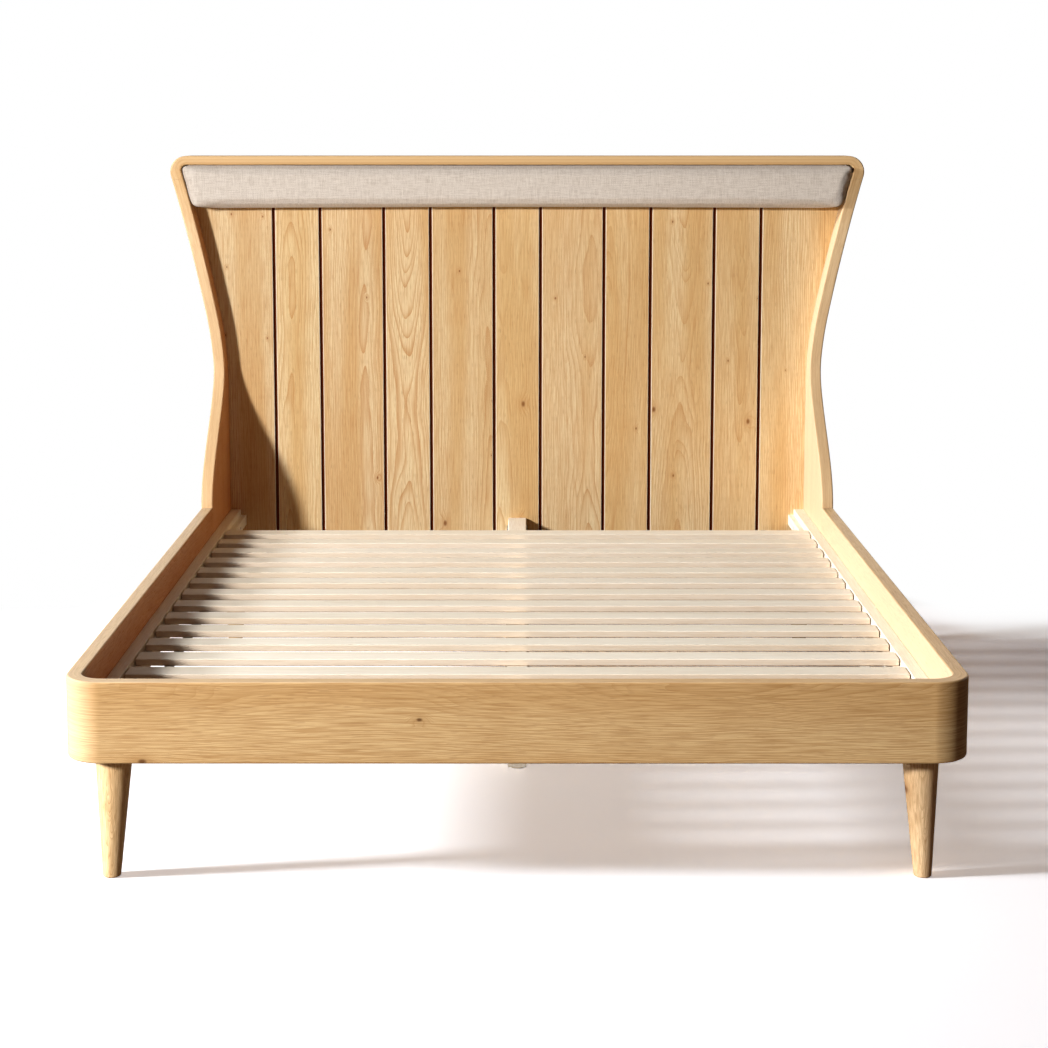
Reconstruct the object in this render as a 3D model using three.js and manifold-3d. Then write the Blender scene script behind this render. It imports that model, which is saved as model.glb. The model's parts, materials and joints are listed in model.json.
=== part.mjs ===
import * as THREE from 'three';
import { mergeVertices } from 'three/addons/utils/BufferGeometryUtils.js';
import Module from 'manifold-3d';

// A queen-size slatted bed: an oak frame on tapered legs, and a plank headboard whose side panels sweep
// forward at the bottom and lean outward at the top. Millimetres. +X is to the right of a person who stands
// at the foot and faces the headboard, +Y runs from the foot to the head, and +Z is up. Lengths along Y are
// laid out from the front face of the foot rail, and the finished bed is centred over the origin.

const wasm = await Module();
wasm.setup();

// Clearance between parts that rest on or pass into each other
const FIT = 0.3;

// Space for the mattress, inside the rails
const SPACE_WIDTH = 1574;
const SPACE_LENGTH = 2050;

// Foot rail and side rails
const RAIL_THICKNESS = 30;
const RAIL_HEIGHT = 150;
const RAIL_UNDERSIDE = 235;
const RAIL_EDGE_RADIUS = 4;
const FOOT_CORNER_RADIUS = 72;
const FOOT_RETURN_LENGTH = 28;

// Side panels of the headboard
const PANEL_THICKNESS = 30;
const PANEL_BASE_REACH = 345;
const PANEL_TOP_REACH = 65;
const SWEEP_RISE = 360;
const FLARE_START_ABOVE_RAIL = 285;
const FLARE_TIGHT_RADIUS = 1000;
const FLARE_TIGHT_ANGLE = THREE.MathUtils.degToRad(11);
const FLARE_SLACK_RADIUS = 5000;
const PANEL_EDGE_RADIUS = 4;

// Top band of the headboard, with the round corners that lead into the side panels
const BED_HEIGHT = 1285;
const BAND_THICKNESS = 24;
const BAND_CORNER_RADIUS = 42;
const BAND_INNER_CORNER_RADIUS = 14;
const BAND_LEG_LENGTH = 62;

// Planks, listed from the middle outward: the board at the centre is narrow, and the next one wide
const PLANK_THICKNESS = 18;
const NARROW_PLANK_WIDTH = 126;
const WIDE_PLANK_WIDTH = 172;
const PLANKS_EACH_SIDE = 5;
const PLANK_END_ABOVE_UNDERSIDE = 5;
const GROOVE_WIDTH = 8;
const GROOVE_DEPTH = 6;
const TONGUE_THICKNESS = 5;
const TONGUE_LENGTH = 5;

// Rails across the back of the planks
const BATTEN_THICKNESS = 22;
const BATTEN_HEIGHT = 80;
const BATTEN_RECESS = 2;
const SILL_HEIGHT = 90;
const MIDDLE_BATTEN_ABOVE_RAIL = 250;
const UPPER_BATTEN_BELOW_BAND = 60;

// Cushion under the top band
const CUSHION_HEIGHT = 113;
const CUSHION_STAND_OUT = 18;
const CUSHION_CROWN = 6;
const CUSHION_DRAW_IN = 2.5;
const CUSHION_CORNER_RADIUS = 15;
const CUSHION_END_GAP = 4;
const CUSHION_TOP_GAP = 1.5;
const BACKBOARD_THICKNESS = 12;
const BACKBOARD_INSET = 8;

// Slats and what carries them
const SLAT_WIDTH = 60;
const SLAT_THICKNESS = 14;
const SLAT_PITCH = 118;
const SLAT_EDGE_RADIUS = 2;
const SLAT_END_GAP = 3;
const SLAT_TOP_BELOW_RAIL = 67;
const HEAD_END_GAP = 300;
const FOOT_END_GAP = 46;
const CLEAT_THICKNESS = 27;
const CLEAT_HEIGHT = 43;
const CLEAT_RISE_OVER_SLAT = 1;
const LEDGE_WIDTH = 15;
const WEBBING_WIDTH = 20;
const WEBBING_THICKNESS = 1.2;
const WEBBING_FROM_CENTRE = 690;

// Beam along the middle, its spacer strip, hangers, legs and levelling feet
const BEAM_WIDTH = 49;
const BEAM_HEIGHT = 55;
const STRIP_WIDTH = 40;
const STRIP_THICKNESS = 9;
const HANGER_GAUGE = 3;
const HANGER_LENGTH = 45;
const HANGER_CHEEK_HEIGHT = 38;
const CENTRE_LEG_WIDTH = 40;
const CENTRE_LEG_SHARES = { front: 0.35, rear: 0.665 };
const LEVELLER_DISC_RADIUS = 16;
const LEVELLER_DISC_HEIGHT = 4;
const LEVELLER_STEM_RADIUS = 5;
const LEVELLER_STEM_LENGTH = 45;
const LEVELLER_BORE_CLEARANCE = 0.5;
const LEVELLER_BORE_SPARE = 8;

// Corner legs, and the blocks that they screw into
const LEG_TOP_RADIUS = 34.5;
const LEG_FOOT_RADIUS = 16.5;
const LEG_FOOT_ROUND = 3;
const LEG_SPLAY = 8;
const LEG_INSET = 50;
const FRONT_LEG_Y = 87;
const REAR_LEG_BEHIND_BLOCK_FRONT = 38;
const BLOCK_SIZE = 110;
const BLOCK_HEIGHT = 40;

// Steel plates across the joints between the side rails and the panels
const PLATE_LENGTH = 60;
const PLATE_HEIGHT = 32;
const PLATE_GAUGE = 3;
const PLATE_ABOVE_UNDERSIDE = 5;

// Steps along curves
const SWEEP_STEPS = 16;
const FLARE_STEPS = 12;
const CORNER_STEPS = 8;
const EDGE_STEPS = 2;
const ROUND_SIDES = 32;
const CUSHION_SPANS = 16;
const CUSHION_CORNER_STEPS = 4;

// Heights and distances that follow from the sizes above
const HALF_SPACE = SPACE_WIDTH / 2;
const RAIL_TOP = RAIL_UNDERSIDE + RAIL_HEIGHT;
const PLANK_FACE_Y = RAIL_THICKNESS + SPACE_LENGTH;
const PLANK_BACK_Y = PLANK_FACE_Y + PLANK_THICKNESS;
const BACK_Y = PLANK_BACK_Y + FIT + BATTEN_THICKNESS + BATTEN_RECESS;
const PANEL_BASE_Y = PLANK_FACE_Y - PANEL_BASE_REACH;
const FLARE_START = RAIL_TOP + FLARE_START_ABOVE_RAIL;
const BAND_UNDERSIDE = BED_HEIGHT - BAND_THICKNESS;
const PANEL_TOP = BED_HEIGHT - BAND_LEG_LENGTH;
const SLAT_TOP = RAIL_TOP - SLAT_TOP_BELOW_RAIL;
const SLAT_UNDERSIDE = SLAT_TOP - SLAT_THICKNESS;
const CLEAT_TOP = SLAT_TOP + CLEAT_RISE_OVER_SLAT;
const CLEAT_UNDERSIDE = CLEAT_TOP - CLEAT_HEIGHT;
const BEAM_TOP = SLAT_UNDERSIDE - STRIP_THICKNESS;
const BEAM_UNDERSIDE = BEAM_TOP - BEAM_HEIGHT;
const HEAD_SLAT_REAR_Y = PLANK_FACE_Y - HEAD_END_GAP;
const FOOT_SLAT_FRONT_Y = RAIL_THICKNESS + FOOT_END_GAP;
const SLAT_RUN = HEAD_SLAT_REAR_Y - FOOT_SLAT_FRONT_Y - SLAT_WIDTH;
const SLAT_STEPS = Math.round(SLAT_RUN / SLAT_PITCH);

// Materials
const finish = (color, roughness, metalness = 0) =>
  new THREE.MeshStandardMaterial({ color, roughness, metalness });
const oak = finish(0xd3a974, 0.55);
const oakEdge = finish(0xcfa671, 0.6);
const pine = finish(0xe9dcc8, 0.6);
const plywood = finish(0xc9ab80, 0.7);
const linen = finish(0xc4b7ab, 0.95);
const webbing = finish(0xd8d2c6, 0.9);
const steel = finish(0x8d9094, 0.35, 0.9);
const nylon = finish(0xded2bd, 0.5);

const bed = new THREE.Group();

function addPart(name, geometry, material, parent = bed) {
  const mesh = new THREE.Mesh(geometry, material);
  mesh.name = name;
  parent.add(mesh);
  return mesh;
}

// Builds a closed body through a row of rings with equal counts of points. Each ring runs anticlockwise
// when it is seen from the side toward which the row goes.
function loft(rings) {
  const count = rings[0].length;
  const last = (rings.length - 1) * count;
  const positions = rings.flat().flatMap((point) => [point.x, point.y, point.z]);
  const triangles = [];
  for (let ring = 0; ring + 1 < rings.length; ring += 1) {
    for (let side = 0; side < count; side += 1) {
      const a = ring * count + side;
      const b = ring * count + ((side + 1) % count);
      triangles.push(a, b, b + count, a, b + count, a + count);
    }
  }
  for (const [i, j, k] of capTriangles(rings[0])) triangles.push(i, k, j);
  for (const [i, j, k] of capTriangles(rings.at(-1))) triangles.push(last + i, last + j, last + k);
  const geometry = new THREE.BufferGeometry();
  geometry.setAttribute('position', new THREE.Float32BufferAttribute(positions, 3));
  geometry.setIndex(triangles);
  geometry.computeVertexNormals();
  return geometry;
}

// Triangles over a flat ring, wound as the ring is
function capTriangles(ring) {
  const across = new THREE.Vector3().subVectors(ring[1], ring[0]).normalize();
  const normal = new THREE.Vector3();
  ring.forEach((point, index) => {
    const next = ring[(index + 1) % ring.length];
    normal.add(new THREE.Vector3().crossVectors(point, next));
  });
  const up = new THREE.Vector3().crossVectors(normal.normalize(), across);
  const flat = ring.map((point) => new THREE.Vector2(point.dot(across), point.dot(up)));
  return THREE.ShapeUtils.triangulateShape(flat, []);
}

// A mirrored copy, to the left of the bed's middle plane, with its faces turned outward again
function mirrored(geometry) {
  const copy = geometry.clone().scale(-1, 1, 1);
  const index = copy.index ?? new THREE.BufferAttribute(
    Uint32Array.from({ length: copy.attributes.position.count }, (_, i) => i), 1);
  const turned = Array.from(index.array);
  for (let i = 0; i < turned.length; i += 3) [turned[i + 1], turned[i + 2]] = [turned[i + 2], turned[i + 1]];
  copy.setIndex(turned);
  copy.computeVertexNormals();
  return copy;
}

function addPair(name, geometry, material) {
  addPart(`${name}_right`, geometry, material);
  addPart(`${name}_left`, mirrored(geometry), material);
}

// A rectangle with round corners, anticlockwise, as points in a plane
function roundedRectangle(x0, x1, y0, y1, radius, steps = EDGE_STEPS) {
  const corners = [[x1, y0, -1, 1], [x1, y1, -1, -1], [x0, y1, 1, -1], [x0, y0, 1, 1]];
  return corners.flatMap(([x, y, sideX, sideY], quarter) => {
    const points = [];
    for (let step = 0; step <= steps; step += 1) {
      const angle = (quarter - 1 + step / steps) * Math.PI / 2;
      points.push(new THREE.Vector2(
        x + sideX * radius + radius * Math.cos(angle), y + sideY * radius + radius * Math.sin(angle)));
    }
    return points;
  });
}

// A plain block between two corners
function block(x0, x1, y0, y1, z0, z1) {
  const geometry = new THREE.BoxGeometry(x1 - x0, y1 - y0, z1 - z0);
  return geometry.translate((x0 + x1) / 2, (y0 + y1) / 2, (z0 + z1) / 2);
}

// A section in the XZ plane, carried along Y. The section runs anticlockwise when it is seen from the foot.
function alongY(section, y0, y1) {
  const ringAt = (y) => section.map((point) => new THREE.Vector3(point.x, y, point.y));
  return loft([ringAt(y1), ringAt(y0)]);
}

// An outline in the XY plane, raised from z0 to z1
function alongZ(outline, z0, z1) {
  const geometry = new THREE.ExtrudeGeometry(outline, {
    depth: z1 - z0, bevelEnabled: false, curveSegments: CORNER_STEPS,
  });
  return geometry.translate(0, 0, z0);
}

// Cuts one closed geometry out of another
function cut(body, tool) {
  const [base, cutter] = [body, tool].map((geometry) => {
    const plain = geometry.clone();
    plain.deleteAttribute('normal');
    plain.deleteAttribute('uv');
    const merged = mergeVertices(plain);
    return new wasm.Manifold(new wasm.Mesh({
      numProp: 3,
      vertProperties: new Float32Array(merged.attributes.position.array),
      triVerts: new Uint32Array(merged.index.array),
    }));
  });
  const result = base.subtract(cutter).getMesh();
  const geometry = new THREE.BufferGeometry();
  geometry.setAttribute('position', new THREE.Float32BufferAttribute(result.vertProperties, 3));
  geometry.setIndex(new THREE.BufferAttribute(result.triVerts, 1));
  geometry.computeVertexNormals();
  return geometry;
}

// How far a side panel leans outward at a height, as the offset of its inner face and the lean's angle
function flareAt(z) {
  const tightTop = FLARE_START + FLARE_TIGHT_RADIUS * Math.sin(FLARE_TIGHT_ANGLE);
  if (z <= FLARE_START) return { offset: 0, angle: 0 };
  if (z <= tightTop) {
    const angle = Math.asin((z - FLARE_START) / FLARE_TIGHT_RADIUS);
    return { offset: FLARE_TIGHT_RADIUS * (1 - Math.cos(angle)), angle };
  }
  const angle = Math.asin(Math.sin(FLARE_TIGHT_ANGLE) + (z - tightTop) / FLARE_SLACK_RADIUS);
  const tightOffset = FLARE_TIGHT_RADIUS * (1 - Math.cos(FLARE_TIGHT_ANGLE));
  const slackOffset = FLARE_SLACK_RADIUS * (Math.cos(FLARE_TIGHT_ANGLE) - Math.cos(angle));
  return { offset: tightOffset + slackOffset, angle };
}

const panelInnerX = (z) => HALF_SPACE + flareAt(z).offset;
const panelOuterX = (z) => panelInnerX(z) + PANEL_THICKNESS / Math.cos(flareAt(z).angle);

// How far a side panel stands in front of the planks at a height
function panelReach(z) {
  const share = THREE.MathUtils.clamp((z - RAIL_TOP) / SWEEP_RISE, 0, 1);
  return PANEL_TOP_REACH + (PANEL_BASE_REACH - PANEL_TOP_REACH) * (1 + Math.cos(Math.PI * share)) / 2;
}

// Points round a corner between two straight lines, from the first line to the second
function filletPoints(from, corner, to, radius) {
  const first = new THREE.Vector2().subVectors(from, corner).normalize();
  const second = new THREE.Vector2().subVectors(to, corner).normalize();
  const half = Math.acos(first.dot(second)) / 2;
  const middle = new THREE.Vector2().addVectors(first, second).normalize();
  const centre = corner.clone().addScaledVector(middle, radius / Math.sin(half));
  const start = corner.clone().addScaledVector(first, radius / Math.tan(half)).sub(centre);
  const turn = (Math.PI - 2 * half) * Math.sign(second.cross(first));
  return Array.from({ length: CORNER_STEPS + 1 }, (_, step) =>
    start.clone().rotateAround(new THREE.Vector2(), turn * step / CORNER_STEPS).add(centre));
}

// One side of the top band in the XZ plane: its face toward the planks or its outer face
function bandSide(faceX, z, radius) {
  const foot = new THREE.Vector2(faceX(PANEL_TOP + FIT), PANEL_TOP + FIT);
  return [foot, ...filletPoints(foot, new THREE.Vector2(faceX(z), z), new THREE.Vector2(0, z), radius)];
}

const bandInner = bandSide(panelInnerX, BAND_UNDERSIDE, BAND_INNER_CORNER_RADIUS);
const bandOuter = bandSide(panelOuterX, BED_HEIGHT, BAND_CORNER_RADIUS);

// The wall that boards between the side panels follow. It cuts straight past the band's round corner.
function boardWallX(z) {
  const [low, high] = [bandInner[1], bandInner.at(-1)];
  if (z <= low.y) return panelInnerX(z);
  return low.x + (high.x - low.x) * (z - low.y) / (high.y - low.y);
}

// Heights at which curved parts get a ring, from one height to another
function heights(z0, z1) {
  const sweepTop = RAIL_TOP + SWEEP_RISE;
  const sweep = Array.from({ length: SWEEP_STEPS + 1 }, (_, i) => RAIL_TOP + SWEEP_RISE * i / SWEEP_STEPS);
  const flare = Array.from({ length: FLARE_STEPS }, (_, i) =>
    sweepTop + (PANEL_TOP - sweepTop) * (i + 1) / FLARE_STEPS);
  const between = [...sweep, ...flare, bandInner[1].y].filter((z) => z > z0 + FIT && z < z1 - FIT);
  return [z0, ...between, z1];
}

function makeFrame() {
  const centreRadius = FOOT_CORNER_RADIUS - RAIL_THICKNESS / 2;
  const cornerX = HALF_SPACE + RAIL_THICKNESS - FOOT_CORNER_RADIUS;
  const returnEndY = FOOT_CORNER_RADIUS + FOOT_RETURN_LENGTH;
  const section = roundedRectangle(
    -RAIL_THICKNESS / 2, RAIL_THICKNESS / 2, RAIL_UNDERSIDE, RAIL_TOP, RAIL_EDGE_RADIUS);

  // The section is set square to the foot rail's path: out of the right return, round the two corners
  const ringAt = (side, angle, y) => section.map((point) => new THREE.Vector3(
    side * cornerX + (centreRadius + point.x) * Math.cos(angle),
    y + (centreRadius + point.x) * Math.sin(angle),
    point.y,
  ));
  const rings = [ringAt(1, 0, returnEndY)];
  for (const side of [1, -1]) {
    for (let step = 0; step <= CORNER_STEPS; step += 1) {
      const turn = step / CORNER_STEPS * Math.PI / 2;
      const angle = side > 0 ? -turn : -Math.PI / 2 - turn;
      rings.push(ringAt(side, angle, FOOT_CORNER_RADIUS));
    }
  }
  rings.push(ringAt(-1, -Math.PI, returnEndY));
  addPart('foot_rail', loft(rings), oak);

  const railSection = section.map((point) => new THREE.Vector2(
    point.x + HALF_SPACE + RAIL_THICKNESS / 2, point.y));
  addPair('side_rail', alongY(railSection, returnEndY + FIT, PANEL_BASE_Y - FIT), oak);
}

function makePanels() {
  const rings = heights(RAIL_UNDERSIDE, PANEL_TOP).map((z) => roundedRectangle(
    panelInnerX(z), panelOuterX(z), PLANK_FACE_Y - panelReach(z), BACK_Y, PANEL_EDGE_RADIUS,
  ).map((point) => new THREE.Vector3(point.x, point.y, z)));
  addPair('side_panel', loft(rings), oak);
}

function makeTopBand() {
  const stations = bandInner.map((point, index) => [point, bandOuter[index]]);
  const flip = (point) => new THREE.Vector2(-point.x, point.y);
  const all = [...stations, ...stations.map(([a, b]) => [flip(a), flip(b)]).reverse()];
  const rings = all.map(([a, b]) => {
    const across = new THREE.Vector2().subVectors(b, a);
    const thickness = across.length();
    across.normalize();
    return roundedRectangle(
      0, thickness, PLANK_FACE_Y - PANEL_TOP_REACH, BACK_Y, PANEL_EDGE_RADIUS,
    ).map((point) => new THREE.Vector3(a.x + across.x * point.x, point.y, a.y + across.y * point.x));
  });
  addPart('headboard_top_band', loft(rings), oakEdge);
}

// A plank's section. A tongue stands out of its right side and its left side holds the next one's tongue.
// The grooves that show between planks are cut into both edges of the face.
function plankSection(x0, x1, hasTongue, hasSlot) {
  const faceY = PLANK_FACE_Y;
  const grooveY = faceY + GROOVE_DEPTH;
  const tongueY = grooveY + (PLANK_THICKNESS - GROOVE_DEPTH - TONGUE_THICKNESS) / 2;
  const half = GROOVE_WIDTH / 2;
  const left = x0 + FIT / 2;
  const right = x1 - FIT / 2;
  const points = [];
  if (hasTongue) {
    points.push([right - half, faceY], [right - half, grooveY], [right, grooveY], [right, tongueY],
      [right + TONGUE_LENGTH, tongueY], [right + TONGUE_LENGTH, tongueY + TONGUE_THICKNESS],
      [right, tongueY + TONGUE_THICKNESS], [right, PLANK_BACK_Y]);
  } else {
    points.push([x1, faceY], [x1, PLANK_BACK_Y]);
  }
  if (hasSlot) {
    const slotDepth = TONGUE_LENGTH + FIT;
    points.push([left, PLANK_BACK_Y], [left, tongueY + TONGUE_THICKNESS + FIT],
      [left + slotDepth, tongueY + TONGUE_THICKNESS + FIT], [left + slotDepth, tongueY - FIT],
      [left, tongueY - FIT], [left, grooveY], [left + half, grooveY], [left + half, faceY]);
  } else {
    points.push([x0, PLANK_BACK_Y], [x0, faceY]);
  }
  return points;
}

function makePlanks() {
  const z0 = RAIL_UNDERSIDE + PLANK_END_ABOVE_UNDERSIDE;
  const z1 = BAND_UNDERSIDE - FIT;

  // Joints between planks, from the left: the widths alternate, starting with a narrow plank in the middle
  const joints = [NARROW_PLANK_WIDTH / 2];
  for (let plank = 1; plank < PLANKS_EACH_SIDE; plank += 1) {
    joints.push(joints.at(-1) + (plank % 2 ? WIDE_PLANK_WIDTH : NARROW_PLANK_WIDTH));
  }
  const edges = [...joints.map((x) => -x).reverse(), ...joints];
  for (let plank = 0; plank <= edges.length; plank += 1) {
    const isFirst = plank === 0;
    const isLast = plank === edges.length;
    const rings = heights(z0, z1).filter((z) => isFirst || isLast || z === z0 || z === z1).map((z) => {
      const wall = boardWallX(z) - FIT;
      const x0 = isFirst ? -wall : edges[plank - 1];
      const x1 = isLast ? wall : edges[plank];
      return plankSection(x0, x1, !isLast, !isFirst).map(([x, y]) => new THREE.Vector3(x, y, z));
    });
    addPart(`headboard_plank_${plank + 1}`, loft(rings), oak);
  }
}

// A board between the side panels that follows their lean at both ends
function crossBoard(y0, y1, z0, z1, inset) {
  return loft(heights(z0, z1).map((z) => {
    const x = boardWallX(z) - inset;
    return [[x, y0], [x, y1], [-x, y1], [-x, y0]].map(([px, py]) => new THREE.Vector3(px, py, z));
  }));
}

function makeBattens() {
  const y0 = PLANK_BACK_Y + FIT;
  const y1 = y0 + BATTEN_THICKNESS;
  const sillBottom = RAIL_UNDERSIDE + PLANK_END_ABOVE_UNDERSIDE;
  const middleBottom = RAIL_TOP + MIDDLE_BATTEN_ABOVE_RAIL;
  const upperTop = BAND_UNDERSIDE - UPPER_BATTEN_BELOW_BAND;
  addPart('headboard_sill', crossBoard(y0, y1, sillBottom, sillBottom + SILL_HEIGHT, FIT), pine);
  addPart('middle_batten', crossBoard(y0, y1, middleBottom, middleBottom + BATTEN_HEIGHT, FIT), pine);
  addPart('upper_batten', crossBoard(y0, y1, upperTop - BATTEN_HEIGHT, upperTop, FIT), pine);
}

// The cushion is stuffed: its front is crowned, its faces sink a little toward the corners, and its ends
// follow the lean of the side panels
function makeCushion() {
  const top = BAND_UNDERSIDE - CUSHION_TOP_GAP;
  const bottom = top - CUSHION_HEIGHT;
  const middle = (top + bottom) / 2;
  const backY = PLANK_FACE_Y - 2 * FIT - BACKBOARD_THICKNESS;
  const frontY = PLANK_FACE_Y - PANEL_TOP_REACH - CUSHION_STAND_OUT;
  const radius = CUSHION_CORNER_RADIUS;

  // A ring across the cushion at a share of its half length. Toward each end the rings shrink by an inset,
  // and an outward tuck less than the corner's radius rounds the end off.
  const ringAt = (share, inset, tuck) => roundedRectangle(
    frontY + inset, backY - inset, bottom + inset, top - inset,
    Math.max(radius - inset, FIT), CUSHION_CORNER_STEPS,
  ).map((point) => {
    const rise = (point.y - middle) / (CUSHION_HEIGHT / 2);
    const forward = (backY - point.x) / (backY - frontY);
    const fullness = 1 - share ** 4;
    const crown = CUSHION_CROWN * forward * (1 - rise * rise) * fullness;
    const drawIn = CUSHION_DRAW_IN * forward * rise * (1 - fullness);
    const wall = panelInnerX(point.y) - CUSHION_END_GAP - tuck;
    return new THREE.Vector3(share * wall, point.x - crown, point.y - drawIn);
  });

  const endRings = (side) => Array.from({ length: CUSHION_CORNER_STEPS + 1 }, (_, step) => {
    const angle = step / CUSHION_CORNER_STEPS * Math.PI / 2;
    return ringAt(side, radius * (1 - Math.sin(angle)), radius * (1 - Math.cos(angle)));
  });
  const spans = Array.from({ length: CUSHION_SPANS - 1 }, (_, span) =>
    ringAt(2 * (span + 1) / CUSHION_SPANS - 1, 0, radius));
  addPart('headboard_cushion', loft([...endRings(-1), ...spans, ...endRings(1).reverse()]), linen);

  const boardTop = top - BACKBOARD_INSET;
  const boardBottom = bottom + BACKBOARD_INSET;
  const board = crossBoard(
    backY + FIT, backY + FIT + BACKBOARD_THICKNESS, boardBottom, boardTop, CUSHION_END_GAP + BACKBOARD_INSET);
  addPart('cushion_backboard', board, plywood);
}

function makeSlats() {
  const slatX = HALF_SPACE - CLEAT_THICKNESS - SLAT_END_GAP;
  for (let slat = 0; slat <= SLAT_STEPS; slat += 1) {
    const rearY = HEAD_SLAT_REAR_Y - SLAT_RUN * slat / SLAT_STEPS;
    const section = roundedRectangle(rearY - SLAT_WIDTH, rearY, SLAT_UNDERSIDE, SLAT_TOP, SLAT_EDGE_RADIUS);
    const rings = [-slatX, slatX].map((x) => section.map((point) => new THREE.Vector3(x, point.x, point.y)));
    addPart(`slat_${slat + 1}`, loft(rings), pine);
  }
  const tapeTop = SLAT_UNDERSIDE - FIT;
  addPair('slat_webbing', block(
    WEBBING_FROM_CENTRE - WEBBING_WIDTH / 2, WEBBING_FROM_CENTRE + WEBBING_WIDTH / 2,
    FOOT_SLAT_FRONT_Y, HEAD_SLAT_REAR_Y, tapeTop - WEBBING_THICKNESS, tapeTop), webbing);
}

// A cleat runs along each side rail and panel. Its rebate leaves a ledge for the ends of the slats.
function makeCleats() {
  const outer = HALF_SPACE - FIT;
  const wall = HALF_SPACE - CLEAT_THICKNESS;
  const lip = wall - LEDGE_WIDTH;
  const ledgeTop = SLAT_UNDERSIDE - FIT;
  const section = [
    [lip, CLEAT_UNDERSIDE], [outer, CLEAT_UNDERSIDE], [outer, CLEAT_TOP],
    [wall, CLEAT_TOP], [wall, ledgeTop], [lip, ledgeTop],
  ].map(([x, z]) => new THREE.Vector2(x, z));
  addPair('slat_cleat', alongY(section, FOOT_CORNER_RADIUS, PLANK_FACE_Y - FIT), pine);
}

function makeBeam() {
  const y0 = RAIL_THICKNESS + FIT + HANGER_GAUGE + FIT;
  const y1 = PLANK_FACE_Y - FIT;
  addPart('centre_beam', block(-BEAM_WIDTH / 2, BEAM_WIDTH / 2, y0, y1, BEAM_UNDERSIDE, BEAM_TOP), pine);
  addPart('beam_strip', block(
    -STRIP_WIDTH / 2, STRIP_WIDTH / 2, FOOT_SLAT_FRONT_Y, HEAD_SLAT_REAR_Y,
    BEAM_TOP + FIT, SLAT_UNDERSIDE - FIT), pine);

  // Each hanger is a steel trough under the beam's end, fastened to the board behind it
  const inner = BEAM_WIDTH / 2 + FIT;
  const outer = inner + HANGER_GAUGE;
  const seat = BEAM_UNDERSIDE - FIT;
  const base = seat - HANGER_GAUGE;
  const rim = base + HANGER_CHEEK_HEIGHT;
  const trough = [
    [-outer, base], [outer, base], [outer, rim], [inner, rim],
    [inner, seat], [-inner, seat], [-inner, rim], [-outer, rim],
  ].map(([x, z]) => new THREE.Vector2(x, z));
  const footY = RAIL_THICKNESS + FIT;
  addPart('beam_hanger_foot', alongY(trough, footY, footY + HANGER_LENGTH), steel);
  addPart('beam_hanger_head', alongY(trough, y1 - HANGER_LENGTH, y1), steel);
}

// A levelling foot: a disc on a stem that screws up into a centre leg
function levellerProfile() {
  return [
    [0, 0], [LEVELLER_DISC_RADIUS, 0], [LEVELLER_DISC_RADIUS, LEVELLER_DISC_HEIGHT],
    [LEVELLER_STEM_RADIUS, LEVELLER_DISC_HEIGHT],
    [LEVELLER_STEM_RADIUS, LEVELLER_DISC_HEIGHT + LEVELLER_STEM_LENGTH],
    [0, LEVELLER_DISC_HEIGHT + LEVELLER_STEM_LENGTH],
  ].map(([radius, height]) => new THREE.Vector2(radius, height));
}

function lathe(profile, sides = ROUND_SIDES) {
  return new THREE.LatheGeometry(profile, sides).rotateX(Math.PI / 2);
}

function makeCentreLegs() {
  const z0 = LEVELLER_DISC_HEIGHT + FIT;
  const z1 = BEAM_UNDERSIDE - FIT;
  const half = CENTRE_LEG_WIDTH / 2;
  const boreRadius = LEVELLER_STEM_RADIUS + LEVELLER_BORE_CLEARANCE;
  const boreTop = LEVELLER_DISC_HEIGHT + LEVELLER_STEM_LENGTH + LEVELLER_BORE_SPARE;
  const bore = new THREE.CylinderGeometry(boreRadius, boreRadius, boreTop, ROUND_SIDES);
  bore.rotateX(Math.PI / 2).translate(0, 0, boreTop / 2);
  const leg = cut(block(-half, half, -half, half, z0, z1), bore);
  for (const [place, share] of Object.entries(CENTRE_LEG_SHARES)) {
    const y = RAIL_THICKNESS + SPACE_LENGTH * share;
    addPart(`centre_leg_${place}`, leg.clone(), pine).position.set(0, y, 0);
    addPart(`levelling_foot_${place}`, lathe(levellerProfile()), nylon).position.set(0, y, 0);
  }
}

// A turned leg leans outward, and its foot and top are cut level with the floor
function legGeometry(leanX, leanY) {
  const top = RAIL_UNDERSIDE - FIT;
  const profile = [new THREE.Vector2(0, 0)];
  for (let step = 0; step <= EDGE_STEPS; step += 1) {
    const angle = step / EDGE_STEPS * Math.PI / 2;
    profile.push(new THREE.Vector2(
      LEG_FOOT_RADIUS - LEG_FOOT_ROUND * (1 - Math.sin(angle)), LEG_FOOT_ROUND * (1 - Math.cos(angle))));
  }
  profile.push(new THREE.Vector2(LEG_TOP_RADIUS, top), new THREE.Vector2(0, top));
  const lean = new THREE.Matrix4().set(
    1, 0, leanX / top, -leanX, 0, 1, leanY / top, -leanY, 0, 0, 1, 0, 0, 0, 0, 1);
  return lathe(profile).applyMatrix4(lean);
}

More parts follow.
